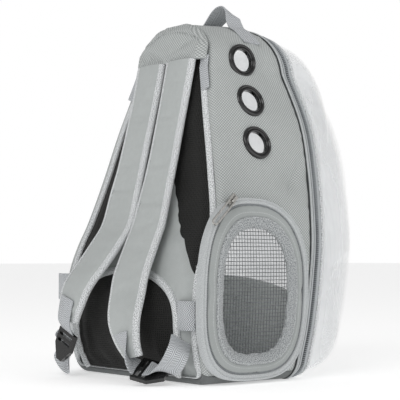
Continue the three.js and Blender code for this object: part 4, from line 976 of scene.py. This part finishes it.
turns = np.linspace(0, 2 * math.pi, 12, endpoint=False)
piece("seam_piping_cord", front_ring("seam_piping_cord", [
    (0.7 - 2.5 * math.cos(t), 2.6 - 2.4 * math.sin(t)) for t in turns]), FINISH["piping"],
    ("seam_piping",))
# A thin near-black ring at the seam is painted shadow in the crevice between the body and the piping.
piece("seam_shadow_line", front_ring("seam_shadow_line",
                                     [(-0.9, -0.7), (-0.9, 0.7), (1.5, 0.7), (1.5, -0.7)]),
      FINISH["shadow tape"])
# The near-black ring at the zip tape's fold is painted shadow in that crease.
piece("zip_fold_shadow_line", front_ring("zip_fold_shadow_line", [(-0.4, 4.6), (-0.4, 5.5), (1.5, 5.5), (1.5, 4.6)]),
      FINISH["shadow tape"])
piece("zip_tape_inner_cloth", front_ring("zip_tape_inner_cloth", rounded(4.9, 5.9, 0.5, 2, 2)),
      FINISH["zip tape"], ("zip_tape_inner",))
piece("zip_tape_outer_cloth", front_ring("zip_tape_outer_cloth", rounded(15.4, 6.0, 2, 3.5, 2)),
      FINISH["zip tape"], ("zip_tape_outer",))
# The near-black bed under the coil is painted shade in the gap between the two zip tapes.
piece("zip_coil_shadow_bed", front_ring("zip_coil_shadow_bed", [
    (2.6, 10.6), (2.6, 15.6), (4.2, 15.6), (4.2, 10.6)]), FINISH["shadow tape"])
piece("dome_flange_tape", front_ring("dome_flange_tape", rounded(21.3, 5.2, 2.6, 3.9, 3.2, 0.8)),
      FINISH["tape"], ("bubble_flange",))


# %% Zip teeth
def teeth_mesh(name, centres, along, across, up, size):
    """Small rounded bars: centres and their three axes come as arrays, size is (along, across, up)."""
    section = np.array([(-0.5, 0.0), (-0.42, 0.62), (-0.18, 1.0), (0.18, 1.0), (0.42, 0.62), (0.5, 0.0)])
    verts, faces = [], []
    for c, a, b, u in zip(centres, along, across, up):
        first = len(verts)
        for end in (-0.5, 0.5):
            for p, q in section:
                shrink = 0.85
                verts.append((c + a * p * size[0] * shrink + b * end * size[1] + u * q * size[2]) * MM)
        n = len(section)
        for k in range(n):
            m = (k + 1) % n
            faces.append((first + k, first + m, first + n + m, first + n + k))
        faces.append(tuple(first + k for k in range(n))[::-1])
        faces.append(tuple(first + n + k for k in range(n)))
    mesh = bpy.data.meshes.new(name)
    mesh.from_pydata([tuple(v) for v in verts], [], faces)
    return finish_mesh(mesh)


def unit(vectors):
    return vectors / np.linalg.norm(vectors, axis=-1, keepdims=True)


tooth_pitch = 2.3
tooth_lengths = np.arange(0, OUTLINE_LENGTH, tooth_pitch)
centres = skin(tooth_lengths, 1.0, -2.7, 13.1)
along = unit(skin(tooth_lengths + 1, 1.0, -2.7, 13.1) - skin(tooth_lengths - 1, 1.0, -2.7, 13.1))
up = unit(skin(tooth_lengths, 1.0, -1.7, 13.1) - centres)
across = unit(np.cross(along, up))
piece("zip_coil_teeth", teeth_mesh("zip_coil_teeth", centres, along, across, up, (1.7, 4.2, 1.9)), TEETH,
      ("zip_coil",))
print(len(tooth_lengths), "front zip teeth")

# %% [markdown]
# ## The clear dome
# The dome is blown from one sheet. Rings of the outline shrink towards its middle while they move forward,
# after a superellipse, which gives the full shoulder and flat face of a blown sheet. A low ridge runs
# round it just inside the rim.

# %% Dome
DOME_DEPTH, DOME_INSET, DOME_START, DOME_MIDDLE, DOME_POWER = 112.0, 6.0, 25.8, 172.0, 2.3
dome_s = np.linspace(0, OUTLINE_LENGTH, 300, endpoint=False)
rim = skin(dome_s, 1.0, -DOME_INSET, DOME_START)
middle = np.array([0.0, float(front_at(DOME_MIDDLE)) - DOME_START, DOME_MIDDLE])
dome_rows = [skin(dome_s, 1.0, -DOME_INSET + 0.6, DOME_START - 4.0),
             skin(dome_s, 1.0, -DOME_INSET + 0.8, DOME_START - 1.5)]
for degrees in np.concatenate([np.linspace(0, 20, 9), np.linspace(23, 89, 34)]):
    turn = math.radians(degrees)
    size, forward = math.cos(turn) ** (2 / DOME_POWER), math.sin(turn) ** (2 / DOME_POWER)
    ring = middle + (rim - middle) * size
    ring = ring - np.array([0, DOME_DEPTH * forward, 0])
    ridge = 0.9 * math.exp(-((degrees - 3.2) / 1.1) ** 2)
    outward = unit((rim - middle) * np.array([1, 0, 1]))
    dome_rows.append(ring + outward * ridge)
dome_points = np.stack(dome_rows, axis=0)
dome_mesh = strip_mesh("dome_sheet", dome_points, closed_v=True)
edit = bmesh.new()
edit.from_mesh(dome_mesh)
edit.verts.ensure_lookup_table()
last_ring = [v for v in edit.verts if v.is_boundary and v.co.y < -0.19]
bmesh.ops.holes_fill(edit, edges=[e for e in edit.edges if e.is_boundary and e.verts[0] in last_ring],
                     sides=0)
bmesh.ops.recalc_face_normals(edit, faces=edit.faces[:])
edit.to_mesh(dome_mesh)
edit.free()
dome_mesh.polygons.foreach_set("use_smooth", [True] * len(dome_mesh.polygons))
dome = piece("dome_sheet", dome_mesh, CLEAR, ("bubble",))
thicken(dome, 1.4, -1.0)
settle(dome)
print("dome", len(dome.data.polygons), "faces")

# %% [markdown]
# ## The netted door
# The side door is a padded ring between a raised zip and a bound window. Every ring uses the same turns of
# one superellipse, so that its cells line up from the zip to the net. The net is a real lattice: a grid
# clipped to the window and turned into threads by a Wireframe modifier.


# %% Door rings
def edge_turns(edge, count):
    turns = np.linspace(0, 2 * math.pi, 4000, endpoint=False)
    y, z = edge_at(edge, turns)
    steps = np.hypot(np.roll(y, -1) - y, np.roll(z, -1) - z)
    lengths = np.concatenate([[0], np.cumsum(steps)])
    return np.interp(np.linspace(0, lengths[-1], count, endpoint=False), lengths,
                     np.append(turns, 2 * math.pi))


def edge_at(edge, turns, inset=0.0):
    c, s = np.cos(turns), np.sin(turns)
    power = np.where(s >= 0, 2 / TOP_POWER, 2 / BOTTOM_POWER)
    y = edge["y"] + (edge["half_width"] - inset) * np.sign(c) * np.abs(c) ** power
    z = edge["z"] + (edge["half_height"] - inset) * np.sign(s) * np.abs(s) ** power
    return y, z


def door_ring(name, section, count=260, ruffle=0.0):
    """section: rows of (edge, inset, out), or (edge, inset, other edge, other inset, share, out)."""
    turns = edge_turns(DOOR, count)
    gathers = ruffle * (0.6 * np.sin(turns * 31) + 0.5 * np.sin(turns * 19 + 1.3)
                        + 0.4 * np.sin(turns * 47 + 0.4))
    rows = []
    for k, row in enumerate(section):
        y, z = edge_at(row[0], turns, row[1] + gathers * (0.9 if k % 3 else -0.5))
        if len(row) > 3:
            y2, z2 = edge_at(row[2], turns, row[3])
            y, z = y + (y2 - y) * row[4], z + (z2 - z) * row[4]
        rows.append(side_point(y, z, row[-1] + gathers * (0.5 if k % 2 else 0.15)))
    return strip_mesh(name, np.stack(rows, axis=1), closed_u=True, closed_v=True)


piece("door_zip_tape_cloth", door_ring("door_zip_tape_cloth", [
    (DOOR, -0.4, 0.6), (DOOR, 0.0, 4.0), (DOOR, 0.1, 7.6), (DOOR, 0.8, 9.6), (DOOR, 2.0, 10.6),
    (DOOR, 2.9, 10.3), (DOOR, 3.3, 9.7), (DOOR, 3.7, 10.2), (DOOR, 5.2, 10.6), (DOOR, 6.7, 10.0),
    (DOOR, 7.2, 8.8), (DOOR, 7.2, 1.0)]),
    FINISH["piping"], ("door_zip_tape",))
# The near-black bed under the door's teeth is painted shade in the zip gap.
piece("door_zip_shadow_bed", door_ring("door_zip_shadow_bed", [
    (DOOR, 6.9, 7.6), (DOOR, 9.8, 7.6), (DOOR, 9.8, 2.0), (DOOR, 6.9, 2.0)]), FINISH["shadow tape"])
panel_rows = [(DOOR, 9.4, 1.9), (DOOR, 9.3, 5.5), (DOOR, 9.6, 7.6)]
for share in (0.05, 0.12, 0.22, 0.34, 0.48, 0.62, 0.76, 0.88, 0.96):
    panel_rows.append((DOOR, 9.6, WINDOW, -10.5, share, 8.2 + 1.9 * math.sin(math.pi * share) ** 0.6))
panel_rows += [(WINDOW, -9.5, 7.2), (WINDOW, -9.5, 3.2), (WINDOW, -12.0, 1.9)]
door_panel = piece("door_panel_pad", door_ring("door_panel_pad", panel_rows), FINISH["door cloth"],
                   ("door_panel",))
piece("window_binding_tape", door_ring("window_binding_tape", [
    (WINDOW, -11.6, 7.2), (WINDOW, -11.4, 9.0), (WINDOW, -10.2, 9.7), (WINDOW, -7.6, 9.6),
    (WINDOW, -5.0, 8.8), (WINDOW, -2.6, 7.6), (WINDOW, -0.6, 6.2), (WINDOW, 0.3, 4.8), (WINDOW, 0.2, 3.2),
    (WINDOW, -3.0, 3.0), (WINDOW, -8.0, 3.0)], 420, ruffle=0.7),
    FINISH["binding cloth"], ("window_binding",))

# %% Door zip teeth
turns = edge_turns(DOOR, 300)
y, z = edge_at(DOOR, turns, 8.35)
centres = side_point(y, z, 7.5)
along = unit(np.roll(centres, -1, 0) - np.roll(centres, 1, 0))
up = unit(side_point(y, z, 8.5) - centres)
across = unit(np.cross(along, up))
piece("door_zip_teeth", teeth_mesh("door_zip_teeth", centres, along, across, up, (1.5, 1.8, 1.2)), TEETH,
      ("door_zip_coil",))

# %% Window net
NET_PITCH = 4.1
net_y = np.arange(WINDOW["y"] - 56, WINDOW["y"] + 56, NET_PITCH)
net_z = np.arange(WINDOW["z"] - 78, WINDOW["z"] + 78, NET_PITCH)
grid_y, grid_z = np.meshgrid(net_y, net_z, indexing="ij")
slack_waves = 0.5 * ripple(np.stack([grid_y * 0, grid_y, grid_z], -1).reshape(-1, 3), 50,
                           5).reshape(grid_y.shape)
net_points = side_point(grid_y, grid_z, 2.4 + slack_waves)
inside = inside_edge(WINDOW, grid_y, grid_z, -4.5)
cells = inside[:-1, :-1] & inside[1:, :-1] & inside[:-1, 1:] & inside[1:, 1:]
net = piece("window_net_threads", strip_mesh("window_net_threads", net_points, keep=cells), FINISH["net"],
            ("window_net",))
threads = net.modifiers.new("threads", "WIREFRAME")
threads.thickness = 1.05 * MM
threads.use_even_offset = False
settle(net)
print("net", len(net.data.polygons), "faces")

# %% [markdown]
# ## Eyelets
# Three moulded rings let air in. A lathe profile gives each a short throat, a domed lip and one groove.


# %% Eyelet rings
def eyelet_mesh(name, y, z):
    profile = [(13.3, -2.2), (13.1, 1.0), (13.2, 2.6), (13.8, 3.6), (14.6, 3.9), (15.3, 3.5), (15.7, 2.7),
               (16.2, 2.7), (16.7, 3.7), (17.6, 4.3), (18.7, 4.1), (19.6, 3.2), (20.1, 2.0), (20.2, 0.6),
               (15.2, 0.3), (15.0, -2.2)]
    seat = side_point(y, z)
    up = unit(side_point(y, z + 2) - side_point(y, z - 2))
    along = unit(side_point(y + 2, z) - side_point(y - 2, z))
    out = unit(np.cross(up, along))
    if out[0] > 0:
        out = -out
    across = np.cross(out, up)
    rows = []
    for turn in np.linspace(0, 2 * math.pi, 64, endpoint=False):
        ray = across * math.cos(turn) + up * math.sin(turn)
        rows.append([seat + ray * radius + out * height for radius, height in profile])
    return strip_mesh(name, np.array(rows), closed_u=True, closed_v=True)


for label, (y, z) in EYELETS.items():
    piece(f"eyelet_{label}_ring", eyelet_mesh(f"eyelet_{label}_ring", y, z), BLACK,
          (f"eyelet_{label}",))
print(len(EYELETS), "eyelets")

# %% [markdown]
# ## Yoke and shoulder straps
# The yoke is a soft cap on the top of the back, with a curved seam and folds drawn towards its middle. The
# straps leave it underneath. Each strap is a foam strip whose section is swept along a smooth path, bound
# at both edges, with one crease where it bends away from the back.

# %% Yoke
YOKE_FOOT, YOKE_INNER, YOKE_FULL = 370.0, 4.6, 13.2


def yoke_half(z):
    return np.maximum(12.0, np.minimum(65.0, inset_width(z, 0.6)))


def yoke_folds(x, z):
    seam = BODY_HEIGHT - 12 - 0.0052 * x ** 2
    second = BODY_HEIGHT - 6.5 - 0.0026 * (x + 14) ** 2
    groove = -2.3 * np.exp(-((z - seam) / 1.1) ** 2) - 1.5 * np.exp(-((z - second) / 0.9) ** 2) * (x < 8)
    flat = np.stack([x * 1.0, x * 0, z * 1.7], axis=-1).reshape(-1, 3)
    soft = 1.1 * ripple(flat, 42, 21).reshape(x.shape)
    drawn = -1.8 * np.exp(-((z - 386 + 0.35 * (x + 20)) / 3.2) ** 2 - ((x + 26) / 22) ** 2)
    return groove + soft + drawn


yoke_heights = np.concatenate([rows_between(YOKE_FOOT, 405, 1.6),
                               405 + 13 * np.sin(np.linspace(0.08, math.pi / 2, 16))])
yoke = piece("yoke_pad", pad_mesh("yoke_pad", yoke_heights, yoke_half, YOKE_INNER, 5.0, YOKE_FULL, 0.4, 11,
                                  crown=0.8, columns=70, foot_fade=False, creases=yoke_folds),
             FINISH["oxford"], ("yoke",))
print("yoke", len(yoke.data.polygons), "faces")

# %% Strap path and sections
STRAP_TOP = 369.7
STRAP = {"drop": [0, 0.2, 0.4, 0.52, 0.66, 0.78, 0.88, 0.95, 1.0],
         "spread": [0.48, 0.48, 0.49, 0.5, 0.54, 0.66, 0.82, 0.94, 1.03],
         "stand_off": [0.26, 0.28, 0.4, 0.48, 0.52, 0.7, 0.95, 1.0, 0.97],
         "width": [0.85, 0.84, 0.87, 0.95, 1.0, 1.0, 0.9, 0.72, 0.52]}
STRAPS = {"left": (-1, 339.0), "right": (1, 304.0)}
STRAP_HALF = 6.0


def strap_point(side, drop, share):
    z = STRAP_TOP - drop * share
    x = side * 58 * read_table(STRAP, "drop", "spread", np.clip(share, 0, 1))
    return np.stack([x, back_at(z) + 46 * read_table(STRAP, "drop", "stand_off", np.clip(share, 0, 1)), z],
                    axis=-1)


def strap_frames(side, drop, shares):
    at = strap_point(side, drop, shares)
    run = unit(strap_point(side, drop, shares + 0.01) - strap_point(side, drop, shares - 0.01))
    face = unit(np.cross(np.array([1.0, 0, 0]), run))
    face[face[:, 1] < 0] *= -1
    across = unit(np.cross(run, face))
    width = 60 * read_table(STRAP, "drop", "width", shares)
    return at, run, across, face, width


def strap_sweep(name, side, drop, section_of, shares):
    at, run, across, face, width = strap_frames(side, drop, shares)
    rows = []
    for i, share in enumerate(shares):
        section = section_of(width[i] / 2, share)
        rows.append([at[i] + across[i] * a + face[i] * b for a, b in section])
    return strip_mesh(name, np.array(rows), closed_v=True, caps=True)


def foam_section(half, share):
    """The strap's foam: flat faces, thinner towards the bindings, pressed in at the crease."""
    pressed = (1 - 0.42 * math.exp(-((share - 0.5) / 0.009) ** 2)
               - 0.12 * math.exp(-((share - 0.53) / 0.02) ** 2))
    edge = half - 5.2
    faces = [(-1.0, 0.5), (-0.9, 0.72), (-0.7, 0.9), (-0.4, 0.98), (0.0, 1.0), (0.4, 0.98), (0.7, 0.9),
             (0.9, 0.72), (1.0, 0.5)]
    upper = [(edge * a, STRAP_HALF * b * pressed) for a, b in faces]
    return upper + [(a, -b) for a, b in upper[::-1]]


def tape_section(side):
    def section(half, share):
        rows = []
        for turn in np.linspace(-0.5 * math.pi, 0.5 * math.pi, 11):
            rows.append((half - 4.4 + 4.4 * abs(math.cos(turn)) ** 0.7, STRAP_HALF * 0.6 * math.sin(turn)))
        rows += [(half - 6.4, STRAP_HALF * 0.68), (half - 6.6, 0), (half - 6.4, -STRAP_HALF * 0.68)]
        return [(side * a, b) for a, b in rows]
    return section


# %% Straps
strap_shares = np.linspace(0, 1, 110)
strap_pads = []
for label, (side, drop) in STRAPS.items():
    pad = piece(f"strap_{label}_pad", strap_sweep(f"strap_{label}_pad", side, drop, foam_section,
                                                  strap_shares),
                FINISH["pad cloth"], (f"strap_{label}",))
    strap_pads.append(pad)
    for edge, sign in (("inner", -side), ("outer", side)):
        name = f"strap_{label}_{edge}_tape"
        piece(name, strap_sweep(name, side, drop, tape_section(sign), strap_shares), FINISH["tape"],
              (f"strap_{label}_binding_{edge}",))
print(len(strap_pads), "straps")

# %% [markdown]
# ## Webbing
# Webbing is stiff and keeps its width, so each length is a ribbon: a centre line, and the way it faces at
# each place. The lower webbings run from the lumbar pad to the buckles, the tabs hold the buckles, and
# the handle arches over the top.


# %% Ribbons
def smooth_line(points, count):
    """A Catmull-Rom curve through the points, sampled evenly by its length."""
    p = np.asarray(points, float)
    p = np.vstack([2 * p[0] - p[1], p, 2 * p[-1] - p[-2]])
    rows = []
    for i in range(1, len(p) - 2):
        knots = [0.0]
        for k in range(3):
            knots.append(knots[-1] + math.sqrt(np.linalg.norm(p[i + k] - p[i + k - 1])))
        t0, t1, t2, t3 = knots
        for t in np.linspace(t1, t2, 24, endpoint=False):
            a1 = (t1 - t) / (t1 - t0) * p[i - 1] + (t - t0) / (t1 - t0) * p[i]
            a2 = (t2 - t) / (t2 - t1) * p[i] + (t - t1) / (t2 - t1) * p[i + 1]
            a3 = (t3 - t) / (t3 - t2) * p[i + 1] + (t - t2) / (t3 - t2) * p[i + 2]
            b1 = (t2 - t) / (t2 - t0) * a1 + (t - t0) / (t2 - t0) * a2
            b2 = (t3 - t) / (t3 - t1) * a2 + (t - t1) / (t3 - t1) * a3
            rows.append((t2 - t) / (t2 - t1) * b1 + (t - t1) / (t2 - t1) * b2)
    rows.append(p[-2])
    rows = np.array(rows)
    steps = np.concatenate([[0], np.cumsum(np.linalg.norm(np.diff(rows, axis=0), axis=1))])
    at = np.linspace(0, steps[-1], count)
    return np.stack([np.interp(at, steps, rows[:, k]) for k in range(3)], axis=1)


def ribbon(name, line, across, width, thickness):
    """A strip along a line; across holds the rough sideways direction at each of its places."""
    run = unit(np.gradient(line, axis=0))
    face = unit(np.cross(run, across))
    level = unit(np.cross(face, run))
    section = [(-0.5, -0.2), (-0.48, -0.45), (0.48, -0.45), (0.5, -0.2), (0.5, 0.2), (0.48, 0.45),
               (0.25, 0.55), (0.0, 0.58),
               (-0.25, 0.55), (-0.48, 0.45), (-0.5, 0.2)]
    rows = [line + level * a * width + face * b * thickness for a, b in section]
    return strip_mesh(name, np.stack(rows, axis=1), closed_v=True, caps=True)


def blend_ways(first, last, count, late=1.0):
    t = np.linspace(0, 1, count)[:, None] ** late
    return unit(np.asarray(first) * (1 - t) + np.asarray(last) * t)


# %% Buckle places
BUCKLES = {"left": ((-0.85, -0.45, -0.22), (0, 0.55, 0.83)), "right": ((0.35, 0.1, -0.9), (0, 1, 0.1))}


def buckle_axes(label):
    side, drop = STRAPS[label]
    at, run, across, face, _ = (v[0] for v in strap_frames(side, drop, np.array([1.0])))
    points, looks = BUCKLES[label]
    way = unit(np.array(points, float))
    front = np.array(looks, float)
    front = unit(front - way * front.dot(way))
    return at + run * 13.3, way, np.cross(way, front), front, (at, run, across, face)


# %% Tabs and lower webbings
BUCKLE_LENGTH, WEBBING_WIDTH, WEBBING_THICKNESS = 36, 25, 1.6
LAID = {"left": (-0.48, -0.62, -0.6), "right": (0.0, 0.2, -1.0)}
for label, (side, drop) in STRAPS.items():
    seat, way, over, front, (end, run, across, face) = buckle_axes(label)
    sense = -1 if over.dot(across) < 0 else 1
    lift = STRAP_HALF + 1.6
    sewn = [strap_frames(side, drop, np.array([1 - d / drop])) for d in (26, 13)]
    line = ([f[0][0] + f[3][0] * lift for f in sewn]
            + [end + face * lift + run, end + run * 8 + face * (lift * 0.6), seat + way * 1.5])
    line = smooth_line(line, 40)
    name = f"strap_{label}_tab_webbing"
    piece(name, ribbon(name, line, blend_ways(across, over * sense, 40), WEBBING_WIDTH, WEBBING_THICKNESS),
          FINISH["webbing"],
          (f"strap_{label}_tab",))
    start = back_point(side * (float(lumbar_half(50)) + 13.4), 50, 11.6)
    facing = np.sign((start - seat).dot(front))

    def on_buckle(share, out):
        return seat + way * BUCKLE_LENGTH * share + front * facing * (3.3 + out)

    halfway = start + (on_buckle(1.1, 10) - start) * 0.45 + np.array([side * 13, 8, 0])
    line = smooth_line([start, halfway, on_buckle(1.1, 10), on_buckle(0.72, 2.4), on_buckle(0.35, 0.8)], 70)
    first_way = np.array(LAID[label])
    sense = -1 if over.dot(first_way) < 0 else 1
    name = f"webbing_{label}_strip"
    piece(name, ribbon(name, line, blend_ways(first_way, over * sense, 70, 3.0), WEBBING_WIDTH,
                       WEBBING_THICKNESS), FINISH["webbing"],
          (f"webbing_{label}",))

# %% Side bands and patches
for label, side, height, bulge, reach in (("left", -1, 76, 2, -9), ("right", 1, 104, 9, 5)):
    edge = float(half_width_at(height))
    seam_x = float(lumbar_half(height - 12.8)) + 7.3
    line = smooth_line([back_point(side * seam_x, height, 10.1),
                        back_point(side * (92 + (edge - 92) * 0.6), height, 7.1 + bulge),
                        back_point(side * (edge + reach), height, 3.6 + bulge * 0.5)], 40)
    name = f"side_band_{label}_webbing"
    piece(name, ribbon(name, line, np.tile([0.0, 0, side], (40, 1)), 32, 1.8), FINISH["webbing"],
          (f"side_band_{label}",))
for label, side in (("left", -1), ("right", 1)):
    heights = np.linspace(373, 332.5, 20)
    line = back_point(side * (inset_width(heights, 3) - 6.75), heights, 3.7)
    name = f"patch_{label}_webbing"
    piece(name, ribbon(name, line, np.tile([1.0, 0, 0], (20, 1)), 13.5, 1.4), FINISH["webbing"],
          (f"patch_{label}",))
print("side bands and patches sewn on")

# %% Top handle
HANDLE = {"along": [-70, -46, -36, -30, -25, -19, -12, -5, 1, 7, 14, 28, 56],
          "lift": [0, 0, 0.05, 0.34, 0.76, 1.0, 0.95, 0.66, 0.34, 0.1, 0, 0, 0]}
HANDLE_Y, HANDLE_SEAT, HANDLE_RISE = -57.0, 3.4, 21.0
top_length = OUTLINE_LENGTH / 2


def over_top(distance, out):
    """A place above the top outline at the handle, measured along it from the highest point."""
    x, z = outline_at(top_length - np.asarray(distance, float), out)
    depth = (back_at(z) - HANDLE_Y) / (back_at(z) - front_at(z))
    return np.stack([x + FLARE * depth * x / (np.abs(x) + BASE_CORNER), np.full_like(x, HANDLE_Y), z],
                    axis=-1)


handle_line = smooth_line([over_top(a, HANDLE_SEAT + l * (HANDLE_RISE - HANDLE_SEAT)) for a, l in
                           zip(HANDLE["along"], HANDLE["lift"])], 110)
raised = np.clip((handle_line[:, 2] - 423) / 14, 0, 1)
handle_across = unit(np.stack([raised * 0, -np.ones(110), -0.5 * raised], axis=1))
piece("top_handle_webbing", ribbon("top_handle_webbing", handle_line, handle_across, WEBBING_WIDTH, 2.0),
      FINISH["webbing"], ("top_handle",))
print("handle peak", round(float(handle_line[:, 2].max())), "mm")

# %% [markdown]
# ## The soft panel inside
# A low cushioned panel stands behind the dome. Its sagging top edge shows through the net as the line
# between the bright dome above and the grey cloth below.

# %% Inner panel
PANEL_HEIGHT, PANEL_SAG, PANEL_BACK, PANEL_THICK = 118.0, 19.0, 12.0, 6.0
shares = np.linspace(-1, 1, 60)
ups = np.linspace(0, 1, 30)
foot = WALL + 0.8
rows = []
for share in shares:
    top = PANEL_HEIGHT - PANEL_SAG * share ** 2
    zs = foot + (top - foot) * ups
    full = np.where(zs < BASE_CORNER, float(half_width_at(BASE_CORNER)) - 18.6, half_width_at(zs) - 4.6)
    full = np.minimum(full, float(half_width_at(BASE_CORNER)) - 18.6 + np.maximum(zs - 6, 0) * 1.1)
    y = front_at(zs) + PANEL_BACK
    lean = 1.4 * np.sin(ups * math.pi) * (1 - share ** 2)
    front = np.stack([share * full, y, zs], axis=1)
    back = np.stack([share * full, y + PANEL_THICK + lean, zs], axis=1)
    rows.append(np.concatenate([front, back[::-1]]))
# The panel's near-white finish is painted light: it stands in for the light that reaches the inside.
inner_panel = piece("inner_panel_pad", flat_uv(strip_mesh("inner_panel_pad", np.array(rows), closed_v=True,
                                                          caps=True)),
                    FINISH["lining"], ("inner_panel",))
print("inner panel", len(inner_panel.data.polygons), "faces")

# %% [markdown]
# ## Hard pieces kept from the frame
# Buckles, slider and pull are moulded or stamped to size, so their CAD solids stay. A Bevel modifier
# rounds their edges, since no real edge is perfectly sharp, and each gets its finish.


# %% Bevelled CAD nodes
def keep_node(name, finish, bevel, segments=3):
    obj = bpy.data.objects[name]
    obj.data.materials.clear()
    obj.data.materials.append(finish)
    soft = obj.modifiers.new("rounded edges", "BEVEL")
    soft.width = bevel * MM
    soft.segments = segments
    soft.limit_method = "ANGLE"
    soft.angle_limit = math.radians(35)


for name, finish, bevel in (("buckle_left", BLACK, 0.9), ("buckle_right", BLACK, 0.9),
                            ("door_slider", METAL, 0.5), ("door_zip_pull", METAL, 0.45)):
    keep_node(name, finish, bevel)
print("hard nodes finished")

# %% [markdown]
# ## Filling the soft pieces
# Every seam is in place, so the soft pieces can be filled. The sewn points of each are held, and the cloth
# between them is pressed outward. The yoke may rise most, the thin strap pads least.

# %% Padding
def pad_freedom(obj, rows):
    """A pad on the back is sewn down on its flat inner half and along its rim."""
    columns = len(obj.data.vertices) // rows
    half = columns // 2
    return strip_freedom(rows, columns, [0, 1, *range(half - 2, columns)])


puff(lumbar, pad_freedom(lumbar, len(rows_between(LUMBAR_FOOT, LUMBAR_TOP, 3))), 1.6)
puff(surround, pad_freedom(surround, len(rows_between(SURROUND_FOOT, SURROUND_TOP))), 1.4)
puff(yoke, pad_freedom(yoke, len(yoke_heights)), 1.8, spare=0.05)
for pad in strap_pads:
    edge_columns = [0, 8, 9, 17]
    puff(pad, strip_freedom(len(strap_shares), 18, edge_columns), 0.8, 2.0)
panel_columns = len(panel_rows)
puff(door_panel, strip_freedom(260, panel_columns, [0, 1, 2, *range(panel_columns - 3, panel_columns)], 0),
     1.0, 3.0)
puff(inner_panel, strip_freedom(60, 60, [0, 29, 30, 59]), 1.2, 3.0)

# %% How full each padded piece is
fills = [(lumbar, 0.7), (surround, 0.5), (yoke, 0.6), (back_mesh, 0.3), (door_panel, 0.5), (inner_panel, 0.5)]
fills += [(pad, 0.7) for pad in strap_pads]
print("fill stated for", len(fills), "pads")

# %% [markdown]
# ## Floor, light and camera
# The studio is white all round: a pale floor, an even sky, and two soft lamps, one high behind the bag and
# one on its left, that model the folds. The sky is seen white but lights the bag less, so that the cloth
# keeps its grey. The camera stands low behind the bag's left shoulder with a long lens.

# %% Floor
def plane(name, half):
    mesh = bpy.data.meshes.new(name)
    mesh.from_pydata([(-half, -half, 0), (half, -half, 0), (half, half, 0), (-half, half, 0)], [],
                     [(0, 1, 2, 3)])
    obj = bpy.data.objects.new(name, mesh)
    bpy.context.scene.collection.objects.link(obj)
    return obj


floor = plane("studio_floor", 30.0)
floor_finish = bpy.data.materials.new("pale floor")
floor_shader = shader(floor_finish, 0.9)[1]
floor_shader.inputs["Base Color"].default_value = (0.92, 0.92, 0.92, 1)
floor_shader.inputs["Emission Color"].default_value = (1, 1, 1, 1)
floor_shader.inputs["Emission Strength"].default_value = 0.42
floor.data.materials.append(floor_finish)
print("floor", floor.name, "with", floor_finish.name)

# %% Lights
def lamp(name, place, target, size, power):
    data = bpy.data.lights.new(name, "AREA")
    data.size = size
    data.energy = power
    obj = bpy.data.objects.new(name, data)
    obj.location = place
    obj.rotation_euler = (Vector(target) - Vector(place)).to_track_quat("-Z", "Y").to_euler()
    bpy.context.scene.collection.objects.link(obj)
    return obj


key = lamp("key light", (-0.9, 2.0, 1.7), (0, 0, 0.2), 1.4, 17)
fill = lamp("fill light", (-2.2, -0.6, 0.9), (0, 0, 0.2), 1.6, 7)
world = bpy.data.worlds.new("white studio")
world.use_nodes = True
sky = world.node_tree.nodes["Background"]
sky.inputs["Color"].default_value = (1, 1, 1, 1)
rays = world.node_tree.nodes.new("ShaderNodeLightPath")
SKY_LIGHT, SKY_SEEN = 0.5, 1.0
world.node_tree.links.new(ramp(world.node_tree, rays.outputs["Is Camera Ray"], 0, 1, SKY_LIGHT, SKY_SEEN),
                          sky.inputs["Strength"])
bpy.context.scene.world = world
bpy.context.scene.view_settings.view_transform = "Standard"
print("lamps", key.data.energy, "and", fill.data.energy, "W, sky", SKY_LIGHT)

# %% Camera
camera_data = bpy.data.cameras.new("camera")
camera_data.lens = 108.85
camera_data.sensor_width = 36
camera = bpy.data.objects.new("camera", camera_data)
camera.location = (-1.1251, 0.9119, 0.1375)
camera.rotation_euler = Vector((0.7651, -0.6421, 0.0487)).to_track_quat("-Z", "Y").to_euler()
bpy.context.scene.collection.objects.link(camera)
bpy.context.scene.camera = camera
print("camera lens", camera_data.lens, "mm")
